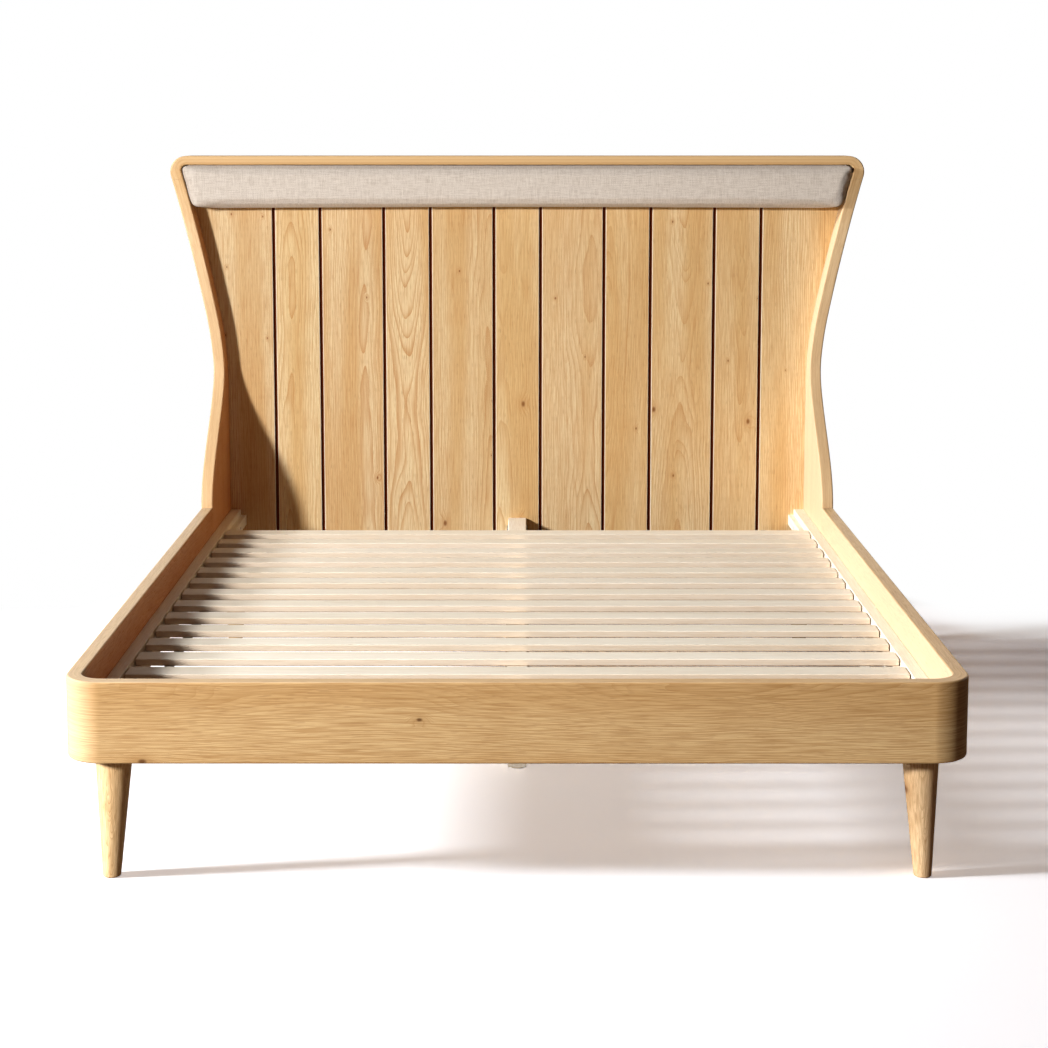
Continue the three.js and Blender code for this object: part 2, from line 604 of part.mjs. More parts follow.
function makeLegs() {
  const rearBlockY = PANEL_BASE_Y + PLATE_LENGTH / 2 + FIT;
  const rearY = rearBlockY + REAR_LEG_BEHIND_BLOCK_FRONT;
  const wall = HALF_SPACE - FIT;
  const z1 = RAIL_UNDERSIDE + BLOCK_HEIGHT;

  // The front block fits the round corner of the foot rail
  const frontY = RAIL_THICKNESS + FIT;
  const round = FOOT_CORNER_RADIUS - RAIL_THICKNESS - FIT;
  const corner = new THREE.Shape();
  corner.moveTo(wall - BLOCK_SIZE, frontY);
  corner.lineTo(wall - round, frontY);
  corner.absarc(wall - round, frontY + round, round, -Math.PI / 2, 0);
  corner.lineTo(wall, frontY + BLOCK_SIZE);
  corner.lineTo(wall - BLOCK_SIZE, frontY + BLOCK_SIZE);
  corner.closePath();
  addPair('front_leg_block', alongZ(corner, RAIL_UNDERSIDE, z1), pine);
  addPair('rear_leg_block', block(
    wall - BLOCK_SIZE, wall, rearBlockY, rearBlockY + BLOCK_SIZE, RAIL_UNDERSIDE, z1), pine);

  const legX = HALF_SPACE - LEG_INSET;
  const front = legGeometry(-LEG_SPLAY, LEG_SPLAY).translate(legX, FRONT_LEG_Y, 0);
  const rear = legGeometry(-LEG_SPLAY, -LEG_SPLAY).translate(legX, rearY, 0);
  addPair('front_leg', front, oak);
  addPair('rear_leg', rear, oak);
}

function makePlates() {
  const x1 = HALF_SPACE - FIT;
  const z0 = RAIL_UNDERSIDE + PLATE_ABOVE_UNDERSIDE;
  addPair('rail_plate', block(
    x1 - PLATE_GAUGE, x1, PANEL_BASE_Y - PLATE_LENGTH / 2, PANEL_BASE_Y + PLATE_LENGTH / 2,
    z0, z0 + PLATE_HEIGHT), steel);
}

makeFrame();
makePanels();
makeTopBand();
makePlanks();
makeBattens();
makeCushion();
makeSlats();
makeCleats();
makeBeam();
makeCentreLegs();
makeLegs();
makePlates();

bed.position.y = -BACK_Y / 2;
bed.updateMatrixWorld(true);

export default bed;
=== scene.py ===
"""Dresses a slatted oak bed: boards with real grain, a stuffed linen cushion, fastenings and a studio."""

import json
import logging
import math
import random
from dataclasses import dataclass, field, replace
from enum import Enum
from typing import Callable, Sequence

import bmesh
import bpy
import numpy as np
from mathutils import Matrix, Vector

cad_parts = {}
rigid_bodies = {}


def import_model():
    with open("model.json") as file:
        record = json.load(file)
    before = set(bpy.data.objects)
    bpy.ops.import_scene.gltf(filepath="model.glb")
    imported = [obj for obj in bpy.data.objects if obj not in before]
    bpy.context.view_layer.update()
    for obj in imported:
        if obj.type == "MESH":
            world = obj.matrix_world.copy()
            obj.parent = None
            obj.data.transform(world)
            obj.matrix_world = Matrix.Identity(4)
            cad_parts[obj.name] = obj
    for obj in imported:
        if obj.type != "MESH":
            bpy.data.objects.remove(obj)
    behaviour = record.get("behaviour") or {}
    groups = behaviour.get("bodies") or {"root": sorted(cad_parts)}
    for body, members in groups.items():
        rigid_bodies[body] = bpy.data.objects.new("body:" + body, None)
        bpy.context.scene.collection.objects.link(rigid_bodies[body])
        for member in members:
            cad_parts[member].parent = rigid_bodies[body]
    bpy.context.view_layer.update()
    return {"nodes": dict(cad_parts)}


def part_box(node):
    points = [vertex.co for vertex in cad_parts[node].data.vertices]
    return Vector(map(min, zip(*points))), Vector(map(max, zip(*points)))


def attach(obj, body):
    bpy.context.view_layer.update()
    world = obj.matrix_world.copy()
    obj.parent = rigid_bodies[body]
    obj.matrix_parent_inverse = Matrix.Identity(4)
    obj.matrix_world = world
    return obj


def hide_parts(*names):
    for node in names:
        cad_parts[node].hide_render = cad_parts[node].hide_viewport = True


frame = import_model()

log = logging.getLogger("bed")

Colour = tuple[float, float, float, float]
Triple = tuple[float, float, float]
Pair = tuple[float, float]
Outline = list[Pair]
GrainOf = Callable[[Vector, Vector], Vector]
PaintedShadingOf = Callable[[Vector], float]
Socket = bpy.types.NodeSocket
Piece = bpy.types.Object

WHITE: Colour = (1.0, 1.0, 1.0, 1.0)


class Body(Enum):
    """The bodies that a new piece can ride on."""

    FRAME = "bed_frame"
    DECK = "slat_deck"


class Slot(Enum):
    """The record's material slots."""

    OAK = "oak"
    PINE = "pine"
    PLYWOOD = "plywood"
    LINEN = "linen"
    WEBBING = "webbing"
    STEEL = "steel"
    NYLON = "nylon"


class Side(Enum):
    """The two sides of the bed, with the sign of their X."""

    LEFT = -1
    RIGHT = 1

    @property
    def word(self) -> str:
        """The side's name as pieces carry it."""
        return self.name.lower()


def limited(share: float) -> float:
    """Keeps a share within 0 and 1."""
    return min(max(share, 0.0), 1.0)


@dataclass(frozen=True)
class BedSizes:
    """Sizes of the bed in metres. Lengths along Y are laid out from the foot rail's front face."""

    fit: float = 0.0003
    space_width: float = 1.574
    space_length: float = 2.05
    rail_thickness: float = 0.030
    rail_height: float = 0.150
    rail_underside: float = 0.235
    edge_radius: float = 0.004
    foot_corner_radius: float = 0.072
    foot_return: float = 0.028
    panel_thickness: float = 0.030
    panel_base_reach: float = 0.345
    panel_top_reach: float = 0.065
    sweep_rise: float = 0.360
    flare_start_above_rail: float = 0.285
    flare_tight_radius: float = 1.0
    flare_tight_angle: float = math.radians(11)
    flare_slack_radius: float = 5.0
    bed_height: float = 1.285
    band_thickness: float = 0.024
    band_corner_radius: float = 0.042
    band_inner_radius: float = 0.014
    band_leg: float = 0.062
    plank_thickness: float = 0.018
    narrow_plank: float = 0.126
    wide_plank: float = 0.172
    planks_each_side: int = 5
    plank_end_above_underside: float = 0.005
    groove_width: float = 0.008
    batten_thickness: float = 0.022
    batten_recess: float = 0.002
    edge_steps: int = 5

    @property
    def half_space(self) -> float:
        """Half the width between the rails."""
        return self.space_width / 2

    @property
    def rail_top(self) -> float:
        """Height of the rails' top face."""
        return self.rail_underside + self.rail_height

    @property
    def plank_back(self) -> float:
        """Laid-out Y of the planks' back face."""
        return self.rail_thickness + self.space_length + self.plank_thickness

    @property
    def back(self) -> float:
        """Laid-out Y of the headboard's back."""
        return self.plank_back + self.fit + self.batten_thickness + self.batten_recess

    @property
    def face_y(self) -> float:
        """Y of the planks' face in the bed's own frame."""
        return self.rail_thickness + self.space_length - self.back / 2

    @property
    def back_y(self) -> float:
        """Y of the headboard's back in the bed's own frame."""
        return self.back / 2

    @property
    def front_y(self) -> float:
        """Y of the foot rail's front face in the bed's own frame."""
        return -self.back / 2

    @property
    def foot_corner(self) -> tuple[float, float]:
        """X and Y of the centre that the foot rail bends round on the right."""
        x = self.half_space + self.rail_thickness - self.foot_corner_radius
        return x, self.front_y + self.foot_corner_radius

    @property
    def foot_bend(self) -> float:
        """Radius of the foot rail's middle line in its corners."""
        return self.foot_corner_radius - self.rail_thickness / 2

    @property
    def panel_base_y(self) -> float:
        """Y of the side panels' front face below the rail's top."""
        return self.face_y - self.panel_base_reach

    @property
    def panel_top(self) -> float:
        """Height at which the panels meet the top band."""
        return self.bed_height - self.band_leg

    @property
    def band_underside(self) -> float:
        """Height of the top band's underside."""
        return self.bed_height - self.band_thickness

    def flare_at(self, z: float) -> tuple[float, float]:
        """How far a side panel leans outward at a height.

        Args:
            z: height above the floor.

        Returns:
            The offset of its inner face, and the angle of its lean.
        """
        start = self.rail_top + self.flare_start_above_rail
        tight, slack = self.flare_tight_radius, self.flare_slack_radius
        turn = self.flare_tight_angle
        tight_top = start + tight * math.sin(turn)
        if z <= start:
            return 0.0, 0.0
        if z <= tight_top:
            angle = math.asin((z - start) / tight)
            return tight * (1 - math.cos(angle)), angle
        angle = math.asin(math.sin(turn) + (z - tight_top) / slack)
        return tight * (1 - math.cos(turn)) + slack * (math.cos(turn) - math.cos(angle)), angle

    def panel_inner_x(self, z: float) -> float:
        """Distance of a panel's inner face from the middle plane at a height."""
        return self.half_space + self.flare_at(z)[0]

    def panel_outer_x(self, z: float) -> float:
        """Distance of a panel's outer face from the middle plane at a height."""
        return self.panel_inner_x(z) + self.panel_thickness / math.cos(self.flare_at(z)[1])

    def panel_front_y(self, z: float) -> float:
        """Y of a panel's front edge at a height.

        Args:
            z: height above the floor.

        Returns:
            The edge's Y.
        """
        share = limited((z - self.rail_top) / self.sweep_rise)
        sweep = (self.panel_base_reach - self.panel_top_reach) * (1 + math.cos(math.pi * share)) / 2
        return self.face_y - self.panel_top_reach - sweep

    def plank_joints(self) -> list[float]:
        """Lays out the joints between planks.

        Returns:
            The X of each, from the left.
        """
        joints = [self.narrow_plank / 2]
        for plank in range(1, self.planks_each_side):
            joints.append(joints[-1] + (self.wide_plank if plank % 2 else self.narrow_plank))
        return [-x for x in reversed(joints)] + joints


def rounded_outline(points: Sequence[tuple[float, float, float]], steps: int = 4) -> Outline:
    """Rounds the corners of a flat outline.

    Args:
        points: corners in order, each with the radius of its rounding.
        steps: straight bits in each rounding.

    Returns:
        The outline's points.
    """
    outline: Outline = []
    for index, (x, y, radius) in enumerate(points):
        if radius <= 0:
            outline.append((x, y))
            continue
        corner = Vector((x, y))
        before = (Vector(points[index - 1][:2]) - corner).normalized()
        after = (Vector(points[(index + 1) % len(points)][:2]) - corner).normalized()
        half = before.angle(after) / 2
        start = corner + before * (radius / math.tan(half))
        end = corner + after * (radius / math.tan(half))
        centre = corner + (before + after).normalized() * (radius / math.sin(half))
        first, last = start - centre, end - centre
        turn = math.atan2(first.cross(last), first.dot(last))
        for step in range(steps + 1):
            angle = turn * step / steps
            cos, sin = math.cos(angle), math.sin(angle)
            outline.append((centre.x + first.x * cos - first.y * sin,
                            centre.y + first.x * sin + first.y * cos))
    return outline


def rounded_rectangle(x0: float, x1: float, y0: float, y1: float, radius: float, steps: int) -> Outline:
    """A rectangle whose four corners are rounded alike."""
    return rounded_outline([(x0, y0, radius), (x1, y0, radius), (x1, y1, radius), (x0, y1, radius)], steps)


def skin(rings: Sequence[Sequence[Vector]], shape: bmesh.types.BMesh | None = None) -> bmesh.types.BMesh:
    """Skins a row of closed rings, with a cap on each end.

    Args:
        rings: rings with equal counts of points.
        shape: the mesh to add to, or None for a new one.

    Returns:
        The mesh.
    """
    if shape is None:
        shape = bmesh.new()
    rows = [[shape.verts.new(point) for point in ring] for ring in rings]
    count = len(rows[0])
    for low, high in zip(rows, rows[1:]):
        for side in range(count):
            after = (side + 1) % count
            shape.faces.new((low[side], low[after], high[after], high[side]))
    shape.faces.new(list(reversed(rows[0])))
    shape.faces.new(rows[-1])
    return shape


def pull_along_y(section: Outline, y0: float, y1: float) -> bmesh.types.BMesh:
    """Pulls a section of X and Z along Y, from one place to another."""
    return skin([[Vector((x, y, z)) for x, z in section] for y in (y0, y1)])


def round_ends(shape: bmesh.types.BMesh, radius: float, steps: int = 2) -> None:
    """Rounds the edges round the two end caps that skin made last.

    Args:
        shape: the closed mesh.
        radius: how far the rounding reaches.
        steps: straight bits in the rounding.
    """
    shape.faces.ensure_lookup_table()
    edges = {edge for cap in shape.faces[-2:] for edge in cap.edges}
    bmesh.ops.bevel(shape, geom=list(edges), offset=radius, segments=steps, profile=0.5,
                    affect="EDGES", clamp_overlap=True)


def board_seed(name: str) -> float:
    """A number of a board's own, which sets where its figure is cut from the log."""
    return random.Random(name).uniform(0.0, 90.0)


def straight_grain(along: int, across: int, depth: int, origin: Vector) -> GrainOf:
    """Grain along one axis, 0 to 2, with one axis across the board and one through it, from an origin."""
    return lambda point, normal: Vector(
        (point[along] - origin[along], point[across] - origin[across], point[depth] - origin[depth]))


def as_placed(point: Vector, normal: Vector) -> Vector:
    """Grain coordinates of a piece without grain: its place."""
    return point.copy()


def along_y(low: Vector, high: Vector, shares: Sequence[float]) -> list[float]:
    """The Y at each share of the way between a box's two corners."""
    return [low.y + (high.y - low.y) * share for share in shares]


def link_shape(name: str, shape: bmesh.types.BMesh) -> Piece:
    """Turns a closed shape into a bare piece in the scene.

    Args:
        name: the piece's name.
        shape: its closed mesh, which is used up.

    Returns:
        The piece.
    """
    bmesh.ops.recalc_face_normals(shape, faces=shape.faces)
    mesh = bpy.data.meshes.new(name)
    shape.to_mesh(mesh)
    shape.free()
    piece = bpy.data.objects.new(name, mesh)
    bpy.context.scene.collection.objects.link(piece)
    return piece


def make_piece(name: str, shape: bmesh.types.BMesh, grain_of: GrainOf, seed: float | None = None,
               sharp: float = 38.0, wear_of: PaintedShadingOf | None = None) -> Piece:
    """Turns a shape into a piece with grain coordinates.

    Args:
        name: the piece's name.
        shape: its closed mesh, which is used up.
        grain_of: its grain coordinates, from a place and the face's normal.
        seed: the board's number, or None for one from its name.
        sharp: angle in degrees past which an edge shows as a crease.
        wear_of: how far a place is darkened by painted shade, up to 1, or paled by a painted highlight,
            down to -1; None for neither.

    Returns:
        The piece, linked into the scene.
    """
    piece = link_shape(name, shape)
    mesh = piece.data
    mesh.shade_smooth()
    mesh.set_sharp_from_angle(angle=math.radians(sharp))
    set_grain(mesh, grain_of, board_seed(name) if seed is None else seed)
    # Painted light: stores painted shade and painted highlight on the mesh, for the wood's colour to mix in
    if wear_of:
        wear = np.array([wear_of(vertex.co) for vertex in mesh.vertices], np.float32)
        mesh.attributes.new("wear", "FLOAT", "POINT").data.foreach_set("value", wear)
    piece.modifiers.new("flat_faces", "WEIGHTED_NORMAL").keep_sharp = True
    return piece


def set_grain(mesh: bpy.types.Mesh, grain_of: GrainOf, seed: float) -> None:
    """Writes grain coordinates and the board's number on a mesh.

    Args:
        mesh: the mesh to write on.
        grain_of: grain coordinates, from a place and the face's normal.
        seed: the board's number.
    """
    values = np.empty(len(mesh.loops) * 3, np.float32)
    for polygon in mesh.polygons:
        for loop in polygon.loop_indices:
            place = mesh.vertices[mesh.loops[loop].vertex_index].co
            values[loop * 3:loop * 3 + 3] = grain_of(place, polygon.normal)
    mesh.attributes.new("grain", "FLOAT_VECTOR", "CORNER").data.foreach_set("vector", values)
    numbers = np.full(len(mesh.vertices), seed, np.float32)
    mesh.attributes.new("board", "FLOAT", "POINT").data.foreach_set("value", numbers)


def straight_board(name: str, low: Vector, high: Vector, along: int, across: int, radius: float,
                   end_radius: float = 0.0006, wear_of: PaintedShadingOf | None = None) -> Piece:
    """A straight board with rounded edges, whose grain runs along it.

    Args:
        name: the piece's name.
        low: its lowest corner.
        high: its highest corner.
        along: the axis that it runs along.
        across: the axis across its wide face.
        radius: rounding of its long edges.
        end_radius: rounding of its end edges.
        wear_of: painted shade and painted highlight, see make_piece.

    Returns:
        The board.
    """
    depth = 3 - along - across
    section = rounded_rectangle(low[across], high[across], low[depth], high[depth], radius, 3)
    rings = []
    for place in (low[along], high[along]):
        ring = []
        for wide, thin in section:
            point = Vector((0.0, 0.0, 0.0))
            point[along], point[across], point[depth] = place, wide, thin
            ring.append(point)
        rings.append(ring)
    shape = skin(rings)
    round_ends(shape, end_radius)
    return make_piece(name, shape, straight_grain(along, across, depth, (low + high) / 2), wear_of=wear_of)


def colour(red: int, green: int, blue: int) -> Colour:
    """Turns a paint-chart colour, 0 to 255 a channel, into the shader's linear one.

    Args:
        red: its red.
        green: its green.
        blue: its blue.

    Returns:
        The linear colour.
    """
    def linear(value: float) -> float:
        """One channel."""
        return value / 12.92 if value <= 0.04045 else ((value + 0.055) / 1.055) ** 2.4

    return linear(red / 255), linear(green / 255), linear(blue / 255), 1.0


class Graph:
    """Short calls that add nodes to one material."""

    def __init__(self, name: str) -> None:
        """Starts a material with a plain shader.

        Args:
            name: the material's name.
        """
        self.material = bpy.data.materials.new(name)
        self.material.use_nodes = True
        self.tree = self.material.node_tree
        self.tree.nodes.clear()
        self.output = self.add("ShaderNodeOutputMaterial")
        self.shader = self.add("ShaderNodeBsdfPrincipled")
        self.feed(self.output.inputs["Surface"], self.shader.outputs["BSDF"])

    def add(self, kind: str, **settings: object) -> bpy.types.Node:
        """Adds a node.

        Args:
            kind: the node's type.
            settings: values of its properties.

        Returns:
            The node.
        """
        node = self.tree.nodes.new(kind)
        for key, value in settings.items():
            setattr(node, key, value)
        return node

    def feed(self, socket: Socket, value: object) -> None:
        """Links a socket to another, or sets its value.

        Args:
            socket: the socket.
            value: another socket or a plain value.
        """
        if isinstance(value, bpy.types.NodeSocket):
            self.tree.links.new(value, socket)
        else:
            socket.default_value = value

    def math(self, operation: str, *values: object) -> Socket:
        """Works out a sum, product or other function of numbers.

        Args:
            operation: the function's name.
            values: its sockets or numbers.

        Returns:
            The result's socket.
        """
        node = self.add("ShaderNodeMath", operation=operation)
        for socket, value in zip(node.inputs, values):
            self.feed(socket, value)
        return node.outputs[0]

    def total(self, *values: object) -> Socket:
        """Adds up sockets or numbers.

        Args:
            values: the sockets or numbers.

        Returns:
            The sum's socket.
        """
        result = values[0]
        for value in values[1:]:
            result = self.math("ADD", result, value)
        return result

    def times(self, *values: object) -> Socket:
        """Multiplies sockets or numbers.

        Args:
            values: the sockets or numbers.

        Returns:
            The product's socket.
        """
        result = values[0]
        for value in values[1:]:
            result = self.math("MULTIPLY", result, value)
        return result

    def swing(self, value: object, spread: float) -> Socket:
        """Swings about 0, over a spread, as a value goes from 0 to 1."""
        return self.times(self.math("SUBTRACT", value, 0.5), spread)

    def fade(self, value: Socket, low: float, high: float, first: float = 0.0, last: float = 1.0) -> Socket:
        """Fades smoothly from one number to another as a value rises.

        Args:
            value: the value that rises.
            low: where the fade starts.
            high: where it ends.
            first: the number at its start.
            last: the number at its end.

        Returns:
            The faded number's socket.
        """
        node = self.add("ShaderNodeMapRange", interpolation_type="SMOOTHSTEP")
        for socket, number in zip(node.inputs, (value, low, high, first, last)):
            self.feed(socket, number)
        return node.outputs[0]

    def vector(self, x: object, y: object, z: object) -> Socket:
        """Joins three numbers into a vector.

        Args:
            x: its first number.
            y: its second.
            z: its third.

        Returns:
            The vector's socket.
        """
        node = self.add("ShaderNodeCombineXYZ")
        for socket, value in zip(node.inputs, (x, y, z)):
            self.feed(socket, value)
        return node.outputs[0]

    def split(self, vector: Socket) -> tuple[Socket, Socket, Socket]:
        """Splits a vector into three numbers.

        Args:
            vector: the vector.

        Returns:
            The sockets of the numbers.
        """
        node = self.add("ShaderNodeSeparateXYZ")
        self.feed(node.inputs[0], vector)
        return node.outputs[0], node.outputs[1], node.outputs[2]

    def stretch(self, place: Socket, x: float, y: float, z: float) -> Socket:
        """Scales a place along each axis.

        Args:
            place: the place.
            x: scale along X.
            y: scale along Y.
            z: scale along Z.

        Returns:
            The scaled place's socket.
        """
        node = self.add("ShaderNodeVectorMath", operation="MULTIPLY")
        self.feed(node.inputs[0], place)
        self.feed(node.inputs[1], (x, y, z))
        return node.outputs[0]

    def noise(self, place: Socket, scale: Triple, detail: float = 1.0,
              roughness: float = 0.5) -> Socket:
        """Smooth noise from 0 to 1.

        Args:
            place: where to read it, in metres.
            scale: how many times it repeats in a metre, along each axis.
            detail: how many finer layers it has.
            roughness: how strong they are.

        Returns:
            The noise's socket.
        """
        node = self.add("ShaderNodeTexNoise", noise_dimensions="3D")
        self.feed(node.inputs["Vector"], self.stretch(place, *scale))
        self.feed(node.inputs["Scale"], 1.0)
        self.feed(node.inputs["Detail"], detail)
        self.feed(node.inputs["Roughness"], roughness)
        return node.outputs["Fac"]

    def mix(self, share: object, first: object, second: object) -> Socket:
        """Mixes two colours.

        Args:
            share: how much of the second shows, 0 to 1.
            first: colour or socket.
            second: colour or socket.

        Returns:
            The mixed colour's socket.
        """
        node = self.add("ShaderNodeMix", data_type="RGBA")
        colours = [socket for socket in node.inputs if socket.type == "RGBA"]
        for socket, value in zip((node.inputs[0], *colours), (share, first, second)):
            self.feed(socket, value)
        return next(socket for socket in node.outputs if socket.type == "RGBA")

    def mix_shaders(self, share: Socket, first: bpy.types.Node, second: bpy.types.Node) -> bpy.types.Node:
        """Mixes two shaders.

        Args:
            share: how much of the second shows, 0 to 1.
            first: the first shader's node.
            second: the second shader's node.

        Returns:
            The mix's node.
        """
        node = self.add("ShaderNodeMixShader")
        for socket, value in zip(node.inputs, (share, first.outputs[0], second.outputs[0])):
            self.feed(socket, value)
        return node

    def dress(self, **settings: object) -> None:
        """Feeds the shader's sockets.

        Args:
            settings: socket or value for each, by its name in small letters with _ for a space.
        """
        names = {socket.name.lower().replace(" ", "_"): socket.name for socket in self.shader.inputs}
        for key, value in settings.items():
            self.feed(self.shader.inputs[names[key]], value)

    def attribute(self, name: str) -> bpy.types.Node:
        """Reads an attribute of the mesh."""
        return self.add("ShaderNodeAttribute", attribute_name=name, attribute_type="GEOMETRY")

    def bump(self, height: Socket, distance: float, strength: float = 1.0) -> None:
        """Raises the surface by a height map.

        Args:
            height: the map, 0 to 1.
            distance: how far its full height stands up, in metres.
            strength: share of it that shows.
        """
        node = self.add("ShaderNodeBump")
        self.feed(node.inputs["Strength"], strength)
        self.feed(node.inputs["Distance"], distance)
        self.feed(node.inputs["Height"], height)
        self.feed(self.shader.inputs["Normal"], node.outputs[0])


class SkyGraph(Graph):
    """The same calls on the world's nodes."""

    def __init__(self, world: bpy.types.World) -> None:
        """Clears the world's nodes.

        Args:
            world: the world.
        """
        world.use_nodes = True
        self.tree = world.node_tree
        self.tree.nodes.clear()
        self.output = self.add("ShaderNodeOutputWorld")


# Board numbers for carried nodes, whose meshes hold none
CARRIED_BOARDS = {"along_x": 5.0, "along_z": 11.0}


class GrainSource(Enum):
    """Where a material reads its grain coordinates: on the mesh, or from a carried node's own axes."""

    MESH = "mesh"
    ALONG_X = "along_x"
    ALONG_Z = "along_z"

    def read(self, graph: Graph) -> tuple[Socket, Socket, Socket, object]:
        """Grain coordinates and the board's number.

        Args:
            graph: the material's graph.

        Returns:
            Along, across, depth and the board's number.
        """
        if self is GrainSource.MESH:
            along, across, depth = graph.split(graph.attribute("grain").outputs["Vector"])
            return along, across, depth, graph.attribute("board").outputs["Fac"]
        x, y, z = graph.split(graph.add("ShaderNodeTexCoord").outputs["Object"])
        board = CARRIED_BOARDS[self.value]
        return (x, z, y, board) if self is GrainSource.ALONG_X else (z, x, y, board)


@dataclass(frozen=True)
class WoodFigure:
    """How a log's figure is laid out. Scales are repeats in a metre, lengths are in metres."""

    board_step: Pair = (3.1, 0.7)
    knot_cells: Triple = (6.0, 10.0, 0.0)
    knot_size: Pair = (0.25, 0.7)
    knot_core: Pair = (0.02, 0.075)
    knot_halo: Pair = (0.03, 0.28)
    knot_push: float = 0.010
    drift_scale: Triple = (1.1, 0.0, 0.0)
    drift: float = 0.12
    sway_scale: Triple = (0.9, 0.0, 400.0)
    sway: float = 0.05
    lean: float = 0.05
    ripple_scale: Triple = (4.5, 16.0, 16.0)
    ripple: float = 0.016
    wiggle_scale: Triple = (7.0, 42.0, 42.0)
    wiggle: float = 0.0022
    year_scale: Triple = (90.0, 1.0, 1.0)
    year_spread: float = 2.4
    line_power: float = 3.5
    plain_scale: Triple = (1.5, 8.0, 8.0)
    plain_fade: Pair = (0.30, 0.60)
    plain_least: float = 0.5
    fibre_scale: Triple = (12.0, 460.0, 460.0)
    fibre_fade: Pair = (0.36, 0.70)
    grit_scale: Triple = (52.0, 640.0, 640.0)
    pore_fade: Pair = (0.55, 0.72)
    early_wood: Pair = (0.15, 0.55)
    late_pores: float = 0.35
    streak_scale: Triple = (0.7, 11.0, 11.0)
    streak_fade: Pair = (0.34, 0.66)
    cloud_scale: Triple = (5.0, 7.0, 7.0)
    cloud_tone: float = 0.08
    hue_spread: float = 0.007
    halo_share: float = 0.40
    core_share: float = 0.85
    pore_roughness: float = 0.18
    cloud_roughness: float = 0.12
    fibre_relief: float = 0.6
    grit_relief: float = 0.5
    relief: float = 0.0002
    relief_share: float = 0.5


FIGURE = WoodFigure()
NO_HUE_SHIFT = 0.5
OIL_IOR = 1.5


